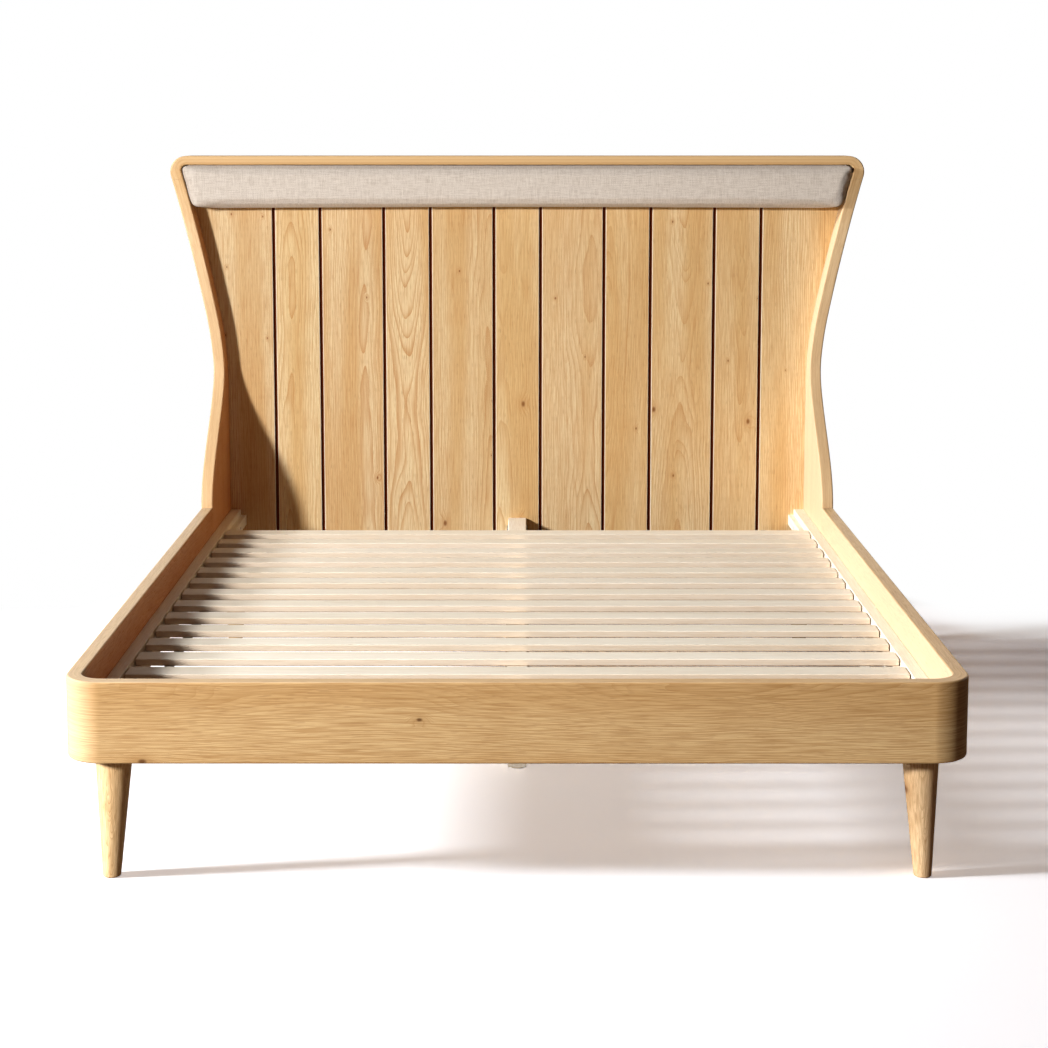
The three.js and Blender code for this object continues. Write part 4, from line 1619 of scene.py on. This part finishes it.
    def build_battens(self) -> None:
        """Finishes the three boards behind the planks and drives a screw through them into each plank."""
        edges = self.sizes.plank_joints()
        outer = self.sizes.half_space - self.screw_inset
        centres = [(a + b) / 2 for a, b in zip([-outer] + edges, edges + [outer])]
        for node in ("headboard_sill", "middle_batten", "upper_batten"):
            self.carry(node, "pine_x", self.batten_edge)
            low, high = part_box(node)
            places = []
            for index, x in enumerate(centres):
                lift = self.screw_stagger if index % 2 else -self.screw_stagger
                z = (low.z + high.z) / 2 + (high.z - low.z) * lift
                places.append((Vector((x, high.y, z)), Vector((0, 1, 0))))
            self.drive_screws(node, places, self.screw_radius)


@dataclass(frozen=True)
class ScrewHead:
    """A domed screw head with a hexagon socket. Its profiles are shares of its radius, out and up."""

    radius: float
    sides: int = 24
    dome: tuple[Pair, ...] = ((1.0, 0.0), (1.0, 0.06), (0.93, 0.16), (0.78, 0.26), (0.60, 0.31))
    socket: tuple[Pair, ...] = ((0.46, 0.31), (0.42, 0.05))
    sharp: float = 30.0

    def ring(self, centre: Vector, normal: Vector, reach: float, height: float,
             hexagon: bool) -> list[Vector]:
        """One ring of a head.

        Args:
            centre: where the head sits.
            normal: which way it faces.
            reach: the ring's share of the radius.
            height: how far it stands up, as a share of the radius.
            hexagon: whether it is six-sided instead of round.

        Returns:
            The ring's points.
        """
        first = normal.orthogonal().normalized()
        second = normal.cross(first)
        sixth = math.pi / 3
        points = []
        for side in range(self.sides):
            angle = 2 * math.pi * side / self.sides
            share = math.cos(sixth / 2) / math.cos(angle % sixth - sixth / 2) if hexagon else 1.0
            out = first * math.cos(angle) + second * math.sin(angle)
            points.append(centre + out * self.radius * reach * share + normal * self.radius * height)
        return points

    def make(self, name: str, places: Sequence[tuple[Vector, Vector]]) -> Piece:
        """Makes a row of heads as one piece.

        Args:
            name: the piece's name.
            places: for each head, where it sits and which way it faces.

        Returns:
            The heads.
        """
        shape = bmesh.new()
        for centre, normal in places:
            skin([self.ring(centre, normal, reach, height, profile is self.socket)
                  for profile in (self.dome, self.socket) for reach, height in profile], shape)
        return make_piece(name, shape, as_placed, sharp=self.sharp)


@dataclass
class Cushion(Assembly):
    """The stuffed linen cushion under the top band, and the plywood board that it is stapled to."""

    height: float = 0.113
    stand_out: float = 0.018
    crown: float = 0.006
    sag: float = 0.0015
    end_gap: float = 0.0016
    top_gap: float = 0.0005
    rear_gap: float = 0.0005
    corner_radius: float = 0.015
    top_radius: float = 0.005
    least_radius: float = 0.002
    slack: float = 0.0014
    spans: int = 48
    bends: int = 6
    corner_steps: int = 5
    backboard: float = 0.012
    backboard_edge: float = 0.0006
    fill: float = 0.85
    voxel: float = 0.005
    held_depth: float = 0.011
    swell_cap: float = 0.006
    frames: int = 20
    pressure: float = 4.0
    stiffness: float = 12.0
    bending: float = 1.0
    quality: int = 4
    smoothings: int = 3
    smoothing: float = 0.5
    cloth_seed: float = 3.0
    end_offset: float = 2.0
    end_normal: float = 0.75

    def build(self) -> None:
        """Builds, stuffs and dresses the cushion."""
        cushion = self.stuffed(self.cover())
        self.place(cushion, "linen", "headboard_cushion")
        self.carry("cushion_backboard", "plywood", self.backboard_edge)

    def limits(self) -> tuple[float, float, float, float]:
        """Finds where the cushion ends.

        Returns:
            The Y of its front and back, and the Z of its bottom and top.
        """
        s = self.sizes
        top = s.band_underside - self.top_gap
        back = s.face_y - 2 * s.fit - self.backboard
        return s.face_y - s.panel_top_reach - self.stand_out, back, top - self.height, top

    def cover(self) -> Piece:
        """Sews the cover, with round corners and ends that follow the panels' lean.

        Returns:
            The slack cover.
        """
        front, back, bottom, top = self.limits()
        rear = back - self.rear_gap
        stops = [(-1.0, step / self.bends) for step in range(self.bends + 1)]
        stops += [(2 * span / self.spans - 1, 1.0) for span in range(1, self.spans)]
        stops += [(1.0, 1 - step / self.bends) for step in range(self.bends + 1)]
        rings = []
        for share, opened in stops:
            angle = opened * math.pi / 2
            inset = self.slack + self.corner_radius * (1 - math.sin(angle))
            tuck = self.slack + self.corner_radius * (1 - math.cos(angle))
            low = max(self.corner_radius - inset, self.least_radius)
            high = max(self.top_radius - inset / 2, self.least_radius)
            outline = rounded_outline(
                [(front + inset, bottom + inset, low), (rear, bottom + inset, low),
                 (rear, top - inset, high), (front + inset, top - inset, high)], self.corner_steps)
            rings.append([
                Vector((share * (self.sizes.panel_inner_x(z) - self.end_gap - tuck), y, z))
                for y, z in outline])
        return link_shape("headboard_cushion_linen", skin(rings))

    def wrap_grain(self) -> GrainOf:
        """Cloth coordinates: along the cushion, and round it from the middle of its front.

        Returns:
            A function from a place on the cloth to its coordinates.
        """
        front, back, bottom, top = self.limits()
        middle, half = (bottom + top) / 2, (top - bottom) / 2

        def grain(point: Vector, normal: Vector) -> Vector:
            """Cloth coordinates at a place.

            Args:
                point: the place.
                normal: the face's normal there.

            Returns:
                The coordinates.
            """
            if abs(normal.x) > self.end_normal:
                return Vector((point.y - front + self.end_offset, point.z - middle, 0.0))
            if abs(normal.z) > abs(normal.y):
                turn = 1.0 if normal.z > 0 else -1.0
                return Vector((point.x, turn * (half + point.y - front), 0.0))
            return Vector((point.x, point.z - middle, 0.0))

        return grain

    def stuffed(self, cover: Piece) -> Piece:
        """Blows the cover up by cloth simulation, and keeps it in its place under the band.

        Args:
            cover: the slack cover.

        Returns:
            The stuffed cushion.
        """
        front, back, bottom, top = self.limits()
        remesh = cover.modifiers.new("voxels", "REMESH")
        remesh.mode = "VOXEL"
        remesh.voxel_size = self.voxel
        apply_modifiers(cover)
        points = read_points(cover)
        group = cover.vertex_groups.new(name="held")
        held = [int(i) for i in np.nonzero(points[:, 1] > back - self.held_depth)[0]]
        group.add(held, 1.0, "REPLACE")
        self.blow_up(cover)
        moved = read_points(cover) - points
        reach = np.linalg.norm(moved, axis=1, keepdims=True)
        result = points + moved * np.minimum(1.0, self.swell_cap / np.maximum(reach, 1e-9))
        result[:, 1] = np.clip(result[:, 1], front - self.crown, back)
        result[:, 2] = np.clip(result[:, 2], bottom - self.sag, top)
        walls = np.array([self.sizes.panel_inner_x(z) for z in result[:, 2]]) - self.end_gap / 2
        result[:, 0] = np.clip(result[:, 0], -walls, walls)
        cover.data.vertices.foreach_set("co", result.astype(np.float32).ravel())
        cover.data.update()
        smooth = cover.modifiers.new("smooth", "SMOOTH")
        smooth.iterations = self.smoothings
        smooth.factor = self.smoothing
        finer = cover.modifiers.new("finer", "SUBSURF")
        finer.levels = finer.render_levels = 1
        apply_modifiers(cover)
        cover.data.shade_smooth()
        set_grain(cover.data, self.wrap_grain(), self.cloth_seed)
        return cover

    def blow_up(self, cover: Piece) -> None:
        """Runs the cloth simulation, with the cover held at its back, and applies it.

        Args:
            cover: the remeshed cover, with its group of held points.
        """
        cloth = cover.modifiers.new("stuffing", "CLOTH").settings
        cloth.use_pressure = True
        cloth.uniform_pressure_force = self.pressure
        cloth.effector_weights.gravity = 0.0
        cloth.vertex_group_mass = "held"
        cloth.quality = self.quality
        cloth.tension_stiffness = cloth.compression_stiffness = self.stiffness
        cloth.bending_stiffness = self.bending
        for step in range(1, self.frames + 1):
            bpy.context.scene.frame_set(step)
        apply_modifiers(cover)
        bpy.context.scene.frame_set(1)


def read_points(piece: Piece) -> np.ndarray:
    """Reads a piece's mesh points.

    Args:
        piece: the piece.

    Returns:
        The points, one row each.
    """
    points = np.empty(len(piece.data.vertices) * 3, np.float32)
    piece.data.vertices.foreach_get("co", points)
    return points.reshape(-1, 3).astype(float)


def apply_modifiers(piece: Piece) -> None:
    """Replaces a piece's mesh by what its modifiers make of it.

    Args:
        piece: the piece.
    """
    graph = bpy.context.evaluated_depsgraph_get()
    result = bpy.data.meshes.new_from_object(piece.evaluated_get(graph), depsgraph=graph)
    piece.modifiers.clear()
    old = piece.data
    piece.data = result
    bpy.data.meshes.remove(old)


@dataclass
class SlatDeck(Assembly):
    """The slats on their two tapes, which lift out together."""

    body: Body = Body.DECK
    slats: int = 15
    edge: float = 0.002
    end_edge: float = 0.0008
    # Painted light on the slats: sides darker, partly as sawn wood and partly as painted shade; lower arris
    # darker still as painted shade
    top_skin: float = 0.0003
    arris_skin: float = 0.0005
    sawn_wear: float = 0.45
    arris_wear: float = 0.9
    tape_edge: float = 0.0004
    tape_end: float = 0.0003
    staple_shares: Pair = (0.3, 0.7)
    staple_span: float = 0.010
    staple_wire: float = 0.0006

    def build(self) -> None:
        """Builds and dresses the slats, tapes and staples."""
        for slat in range(1, self.slats + 1):
            low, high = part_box(f"slat_{slat}")
            piece = straight_board(
                f"slat_{slat}_pine", low, high, 0, 1, self.edge, self.end_edge,
                lambda point: self.saw_mark(point.z - low.z, high.z - low.z))
            self.place(piece, "pine", f"slat_{slat}")
        for side in Side:
            self.build_tape(side)

    def saw_mark(self, rise: float, thickness: float) -> float:
        """How dark a slat is at a height: clean on its top, darker on its sawn sides, partly as sawn wood
        is and partly as painted shade, and darkest along its lower arris and underside, as painted shade.

        Args:
            rise: height above the slat's underside.
            thickness: the slat's thickness.

        Returns:
            The painted shading, as make_piece takes it.
        """
        if rise > thickness - self.top_skin:
            return 0.0
        return self.sawn_wear if rise > self.edge - self.arris_skin else self.arris_wear

    def build_tape(self, side: Side) -> None:
        """Builds a tape and the staples that hold it under each slat.

        Args:
            side: which side of the bed.
        """
        node = f"slat_webbing_{side.word}"
        low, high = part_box(node)
        tape = straight_board(f"{node}_tape", low, high, 1, 0, self.tape_edge, self.tape_end)
        self.place(tape, "tape", node)
        shape = bmesh.new()
        size = Vector((self.staple_span, self.staple_wire, self.staple_wire))
        x = (low.x + high.x) / 2 - self.staple_span / 2
        for slat in range(1, self.slats + 1):
            for y in along_y(*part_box(f"slat_{slat}"), self.staple_shares):
                corner = Vector((x, y - self.staple_wire / 2, low.z - self.staple_wire))
                made = bmesh.ops.create_cube(shape, size=1.0)
                for vert in made["verts"]:
                    vert.co = corner + Vector((v + 0.5) * length for v, length in zip(vert.co, size))
        self.place(make_piece(f"tape_staples_{side.word}", shape, as_placed), "steel")


@dataclass
class Carriers(Assembly):
    """What carries the deck: cleats, the middle beam, its hangers and its legs."""

    beam_edge: float = 0.0025
    strip_edge: float = 0.0012
    leg_edge: float = 0.0014
    foot_edge: float = 0.0006
    plate_edge: float = 0.0006
    ledge_gap: float = 0.003
    ledge_arris: float = 0.0012
    ledge_corner: float = 0.0005
    lip_edge: float = 0.0015
    wall_arris: float = 0.0018
    rail_edge: float = 0.0008
    cleat_screws: int = 8
    cleat_screw_radius: float = 0.0040
    hanger_gauge: float = 0.003
    hanger_fold: float = 0.0040
    hanger_inner_fold: float = 0.0010
    hanger_edge: float = 0.0012
    hanger_screws: Pair = (0.3, 0.7)
    hanger_screw_lift: float = 0.004
    hanger_screw_radius: float = 0.0036
    plate_screws: tuple[float, ...] = (0.14, 0.36, 0.64, 0.86)
    plate_screw_radius: float = 0.0038

    def build(self) -> None:
        """Builds and dresses the carriers."""
        for side in Side:
            self.build_cleat(side)
        for node, across, edge in (("centre_beam", 2, self.beam_edge), ("beam_strip", 0, self.strip_edge)):
            board = straight_board(f"{node}_pine", *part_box(node), 1, across, edge)
            self.place(board, "pine", node)
        for end in ("foot", "head"):
            self.build_hanger(end)
        for end in ("front", "rear"):
            self.carry(f"centre_leg_{end}", "pine_z", self.leg_edge)
            self.carry(f"levelling_foot_{end}", "nylon", self.foot_edge)
        for side in Side:
            self.carry(f"rail_plate_{side.word}", "steel", self.plate_edge)
            self.build_plate_screws(side)

    def build_cleat(self, side: Side) -> None:
        """Builds a cleat: a batten along the rail, rebated so that the slats' ends lie on its ledge.

        Args:
            side: which side of the bed.
        """
        node = f"slat_cleat_{side.word}"
        low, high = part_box(node)
        slat_low, slat_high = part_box("slat_1")
        ledge = slat_low.z - self.sizes.fit
        lip, outer = sorted((abs(low.x), abs(high.x)))
        wall = slat_high.x + self.ledge_gap
        section = rounded_outline([
            (lip, low.z, self.lip_edge), (outer, low.z, self.rail_edge), (outer, high.z, self.rail_edge),
            (wall, high.z, self.wall_arris), (wall, ledge, self.ledge_corner),
            (lip, ledge, self.ledge_arris)], 3)
        shape = pull_along_y([(side.value * x, z) for x, z in section], low.y, high.y)
        origin = Vector((side.value * (lip + outer) / 2, 0.0, (low.z + high.z) / 2))
        self.place(make_piece(f"{node}_pine", shape, straight_grain(1, 2, 0, origin)), "pine", node)
        shares = [(index + 0.5) / self.cleat_screws for index in range(self.cleat_screws)]
        self.drive_screws(node, [
            (Vector((side.value * lip, y, (low.z + ledge) / 2)), Vector((-side.value, 0, 0)))
            for y in along_y(low, high, shares)], self.cleat_screw_radius)

    def build_hanger(self, end: str) -> None:
        """Builds the steel trough under one end of the beam, with its screws.

        Args:
            end: foot or head.
        """
        node = f"beam_hanger_{end}"
        low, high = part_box(node)
        left, right = low.x + self.hanger_gauge, high.x - self.hanger_gauge
        bottom = low.z + self.hanger_gauge
        fold, inner, edge = self.hanger_fold, self.hanger_inner_fold, self.hanger_edge
        section = rounded_outline([
            (low.x, low.z, fold), (high.x, low.z, fold), (high.x, high.z, edge), (right, high.z, edge),
            (right, bottom, inner), (left, bottom, inner), (left, high.z, edge), (low.x, high.z, edge)], 3)
        shape = pull_along_y(section, low.y, high.y)
        self.place(make_piece(f"{node}_steel", shape, as_placed), "steel", node)
        z = (low.z + high.z) / 2 + self.hanger_screw_lift
        self.drive_screws(node, [
            (Vector((high.x if side is Side.RIGHT else low.x, y, z)), Vector((side.value, 0, 0)))
            for side in Side for y in along_y(low, high, self.hanger_screws)], self.hanger_screw_radius)

    def build_plate_screws(self, side: Side) -> None:
        """Drives four screws through the plate across a rail's joint.

        Args:
            side: which side of the bed.
        """
        node = f"rail_plate_{side.word}"
        low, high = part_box(node)
        x = low.x if side is Side.RIGHT else high.x
        self.drive_screws(node, [
            (Vector((x, y, (low.z + high.z) / 2)), Vector((-side.value, 0, 0)))
            for y in along_y(low, high, self.plate_screws)], self.plate_screw_radius)


@dataclass
class Legs(Assembly):
    """Four turned, splayed legs and the blocks that they screw into."""

    top_radius: float = 0.0345
    foot_radius: float = 0.0165
    foot_round: float = 0.003
    foot_steps: int = 4
    shaft_shares: tuple[float, ...] = (0.1, 0.25, 0.5, 0.75)
    splay: float = 0.008
    sides: int = 64
    head_skin: float = 1e-5
    block_edge: float = 0.0015

    def build(self) -> None:
        """Builds and dresses the legs and blocks."""
        for end, lean_y in (("front", 1.0), ("rear", -1.0)):
            for side in Side:
                self.build_leg(end, side, lean_y)
                self.carry(f"{end}_leg_block_{side.word}", "pine_z", self.block_edge)

    def profile(self, top: float) -> list[Pair]:
        """Draws the profile of a leg.

        Args:
            top: height of its top.

        Returns:
            Its radius and height at each step, from its rounded foot up.
        """
        rows = []
        for step in range(self.foot_steps + 1):
            angle = step / self.foot_steps * math.pi / 2
            radius = self.foot_radius - self.foot_round * (1 - math.sin(angle))
            rows.append((radius, self.foot_round * (1 - math.cos(angle))))
        taper = self.top_radius - self.foot_radius
        rows += [(self.foot_radius + taper * share, top * share) for share in self.shaft_shares]
        return rows + [(self.top_radius, top)]

    def build_leg(self, end: str, side: Side, lean_y: float) -> None:
        """Turns one leg.

        Args:
            end: front or rear.
            side: which side of the bed.
            lean_y: sign of Y toward which it leans as it rises.
        """
        node = f"{end}_leg_{side.word}"
        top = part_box(node)[1].z
        top_x, top_y = self.head(node)
        rings = []
        for radius, z in self.profile(top):
            lean = self.splay * (z - top) / top
            x, y = top_x - side.value * lean, top_y + lean_y * lean
            angles = [2 * math.pi * i / self.sides for i in range(self.sides)]
            rings.append([Vector((x + radius * math.cos(a), y + radius * math.sin(a), z)) for a in angles])
        grain = straight_grain(2, 0, 1, Vector((top_x, top_y, 0.0)))
        self.place(make_piece(f"{node}_oak", skin(rings), grain), "leg_oak", node)

    def head(self, node: str) -> Pair:
        """The centre of a leg's top face.

        Args:
            node: the leg's node.

        Returns:
            Its X and Y.
        """
        points = [vertex.co for vertex in frame["nodes"][node].data.vertices]
        top = max(point.z for point in points) - self.head_skin
        xs, ys = zip(*((point.x, point.y) for point in points if point.z > top))
        return (min(xs) + max(xs)) / 2, (min(ys) + max(ys)) / 2


FLOOR = "studio_floor"
WALL = ("headboard_plank", "headboard_cushion")
LIT_FROM_BEHIND = ("foot_rail", "side_rail_oak_right", "side_panel_oak_right", "headboard", "middle_batten",
                   "upper_batten", "front_leg_right", "rear_leg")
COOL: Colour = (0.92, 0.99, 1.08, 1.0)
WARM: Colour = (1.0, 0.97, 0.93, 1.0)
AFTERNOON: Colour = (1.0, 0.98, 0.95, 1.0)
OAK_BOUNCE: Colour = (1.0, 0.34, 0.07, 1.0)
FILL: Colour = (1.0, 0.47, 0.24, 1.0)
FLOOR_LIT: Colour = (2.05, 2.0, 1.97, 1.0)


@dataclass(frozen=True)
class Lamp:
    """A soft square lamp that looks at a point."""

    name: str
    place: Triple
    target: Triple
    size: float
    power: float
    tint: Colour
    spares: tuple[str, ...] = ()
    lights: tuple[str, ...] = ()
    shaded_by: tuple[str, ...] = ()
    glints: bool = True

    def gather(self, names: tuple[str, ...], state: str) -> bpy.types.Collection:
        """Gathers the pieces whose names start alike, for the lamp to light, leave out or be shaded by.

        Args:
            names: starts of their names.
            state: INCLUDE or EXCLUDE.

        Returns:
            Their collection.
        """
        group = bpy.data.collections.new(f"{self.name}_{state.lower()}")
        for piece in bpy.context.scene.objects:
            if piece.type == "MESH" and piece.name.startswith(names):
                group.objects.link(piece)
        for entry in group.collection_objects:
            entry.light_linking.link_state = state
        return group

    def make(self) -> None:
        """Makes the lamp."""
        data = bpy.data.lights.new(self.name, "AREA")
        data.shape = "SQUARE"
        data.size = self.size
        data.energy = self.power
        data.color = self.tint[:3]
        lamp = bpy.data.objects.new(self.name, data)
        lamp.location = self.place
        lamp.visible_glossy = self.glints
        lamp.rotation_euler = (Vector(self.target) - Vector(self.place)).to_track_quat("-Z", "Y").to_euler()
        bpy.context.scene.collection.objects.link(lamp)
        if self.spares:
            lamp.light_linking.receiver_collection = self.gather(self.spares, "EXCLUDE")
        if self.lights:
            lamp.light_linking.receiver_collection = self.gather(self.lights, "INCLUDE")
        if self.shaded_by:
            lamp.light_linking.blocker_collection = self.gather(self.shaded_by, "INCLUDE")


@dataclass
class Studio:
    """A white floor that keeps the bed's shadow, a pale sky, soft lamps and the camera."""

    eye: Triple = (0.0, -4.7632, 1.3725)
    tilt: float = math.radians(7.352)
    lens: float = 73.33
    film_width: float = 36.0
    shift: Pair = (0.0064, -0.12)
    sight: Pair = (0.05, 60.0)
    sky: float = 0.040
    floor_reach: float = 14.0
    floor_base: Colour = colour(150, 130, 112)
    floor_roughness: float = 0.9
    far_fade: Pair = (2.2, 3.6)
    least_white: float = 0.03
    behind_fade: Pair = (0.74, 1.20)
    beside_fade: Pair = (0.8, 1.3)
    beside_shift: float = 0.9
    mirror_fade: Pair = (-0.2, 0.3)
    lamps: tuple[Lamp, ...] = (
        Lamp("key_lamp", (-4.0, -4.7, 2.25), (0.0, 0.2, 0.5), 0.55, 515.0, WHITE, spares=(FLOOR,)),
        Lamp("side_lamp", (-12.0, -2.6, 4.0), (0.0, 0.0, 0.4), 1.25, 1820.0, COOL, spares=WALL),
        Lamp("deck_lamp", (-5.1, -1.5, 3.6), (0.0, 0.0, 0.4), 0.6, 115.0, COOL,
             spares=WALL + (FLOOR, "slat_cleat_left")),
        Lamp("top_lamp", (-1.2, -1.6, 4.6), (0.0, 0.0, 0.0), 2.4, 5.0, WARM, spares=(FLOOR,)),
        Lamp("back_lamp", (3.6, 5.6, 2.0), (0.4, 0.6, 0.6), 1.6, 430.0, AFTERNOON,
             lights=LIT_FROM_BEHIND, glints=False),
        Lamp("floor_lamp", (-12.5, 4.6, 4.0), (0.0, 0.5, 0.0), 2.2, 1350.0, WHITE,
             lights=(FLOOR,), shaded_by=("headboard", "side_panel")),
        Lamp("bounce_lamp", (2.2, -0.2, 1.3), (-0.8, 0.5, 0.6), 1.0, 15.0, OAK_BOUNCE,
             lights=("side_panel_oak_left", "side_rail_oak_left")),
        Lamp("under_lamp", (-2.4, -3.0, 0.30), (0.0, -0.4, 0.1), 0.4, 55.0, WARM,
             lights=("centre_leg", "levelling_foot")),
    )

    def build(self) -> None:
        """Sets up the whole studio."""
        self.build_floor()
        self.build_world()
        for lamp in self.lamps:
            lamp.make()
            log.info("%s: %.0f W", lamp.name, lamp.power)
        self.build_camera()

    def build_floor(self) -> None:
        """Lays the floor, white to the camera wherever the bed doesn't shade it."""
        mesh = bpy.data.meshes.new(FLOOR)
        reach = self.floor_reach
        mesh.from_pydata([(-reach, -reach, 0), (reach, -reach, 0), (reach, reach, 0), (-reach, reach, 0)],
                         [], [(0, 1, 2, 3)])
        floor = bpy.data.objects.new(FLOOR, mesh)
        bpy.context.scene.collection.objects.link(floor)
        g = Graph(FLOOR)
        g.dress(base_color=self.floor_base, roughness=self.floor_roughness, specular_ior_level=0.0)
        pale = g.add("ShaderNodeBsdfDiffuse")
        g.feed(pale.inputs["Color"], FLOOR_LIT)
        white = g.add("ShaderNodeEmission")
        g.feed(white.inputs["Color"], WHITE)
        g.feed(white.inputs["Strength"], 1.0)
        x, y, _ = g.split(g.add("ShaderNodeTexCoord").outputs["Object"])
        distance = g.math("SQRT", g.total(g.times(x, x), g.times(y, y)))
        far = g.fade(distance, *self.far_fade, self.least_white)
        beside = g.fade(g.math("ABSOLUTE", x), *self.beside_fade, self.beside_shift, 0.0)
        behind = g.fade(g.math("SUBTRACT", y, beside), *self.behind_fade)
        faded = g.mix_shaders(g.math("MAXIMUM", far, behind), pale, white)
        seen = g.add("ShaderNodeLightPath").outputs["Is Camera Ray"]
        result = g.mix_shaders(seen, g.shader, faded)
        g.feed(g.output.inputs["Surface"], result.outputs[0])
        floor.data.materials.append(g.material)

    def build_world(self) -> None:
        """Makes the sky white to the camera and behind the bed, and a dim fill for the rest."""
        world = bpy.data.worlds.new("studio_sky")
        bpy.context.scene.world = world
        g = SkyGraph(world)
        skies = []
        for tint, strength in ((FILL, self.sky), (WHITE, 1.0)):
            sky = g.add("ShaderNodeBackground")
            g.feed(sky.inputs["Color"], tint)
            g.feed(sky.inputs["Strength"], strength)
            skies.append(sky)
        path = g.add("ShaderNodeLightPath")
        backward = g.split(g.add("ShaderNodeTexCoord").outputs["Generated"])[1]
        mirrored = g.times(path.outputs["Is Glossy Ray"], g.fade(backward, *self.mirror_fade))
        mix = g.mix_shaders(g.math("MAXIMUM", path.outputs["Is Camera Ray"], mirrored), *skies)
        g.feed(g.output.inputs["Surface"], mix.outputs[0])

    def build_camera(self) -> None:
        """Puts the camera in front of the foot of the bed, looking slightly down."""
        data = bpy.data.cameras.new("camera")
        data.lens = self.lens
        data.sensor_width = self.film_width
        data.shift_x, data.shift_y = self.shift
        data.clip_start, data.clip_end = self.sight
        camera = bpy.data.objects.new("camera", data)
        camera.location = self.eye
        camera.rotation_euler = (math.pi / 2 - self.tilt, 0.0, 0.0)
        bpy.context.scene.collection.objects.link(camera)
        bpy.context.scene.camera = camera


def make_coats() -> dict[str, Coat]:
    """Builds every finish once.

    Returns:
        The coats by key: the finish's name, or for carried pine its name and the axis of its grain.
    """
    coats = {finish.name: Coat(finish.slot, finish.material())
             for finish in (OAK, RAIL_OAK, LEG_OAK, BOARD_OAK, PINE, LINEN, TAPE, STEEL, PLYWOOD, NYLON)}
    for key, source in (("pine_x", GrainSource.ALONG_X), ("pine_z", GrainSource.ALONG_Z)):
        coats[key] = Coat(PINE.slot, PINE.material(source))
    return coats


def main() -> None:
    """Builds the studio and every sub-assembly."""
    logging.basicConfig(level=logging.INFO, format="%(name)s: %(message)s")
    bpy.context.scene.view_settings.view_transform = "Standard"
    sizes = BedSizes()
    coats = make_coats()
    for kind in (BedFrame, Headboard, Cushion, SlatDeck, Carriers, Legs):
        log.info("building %s", kind.__name__)
        kind(sizes, coats).build()
    Studio().build()
    bpy.context.view_layer.update()


if __name__ == "__main__":
    main()
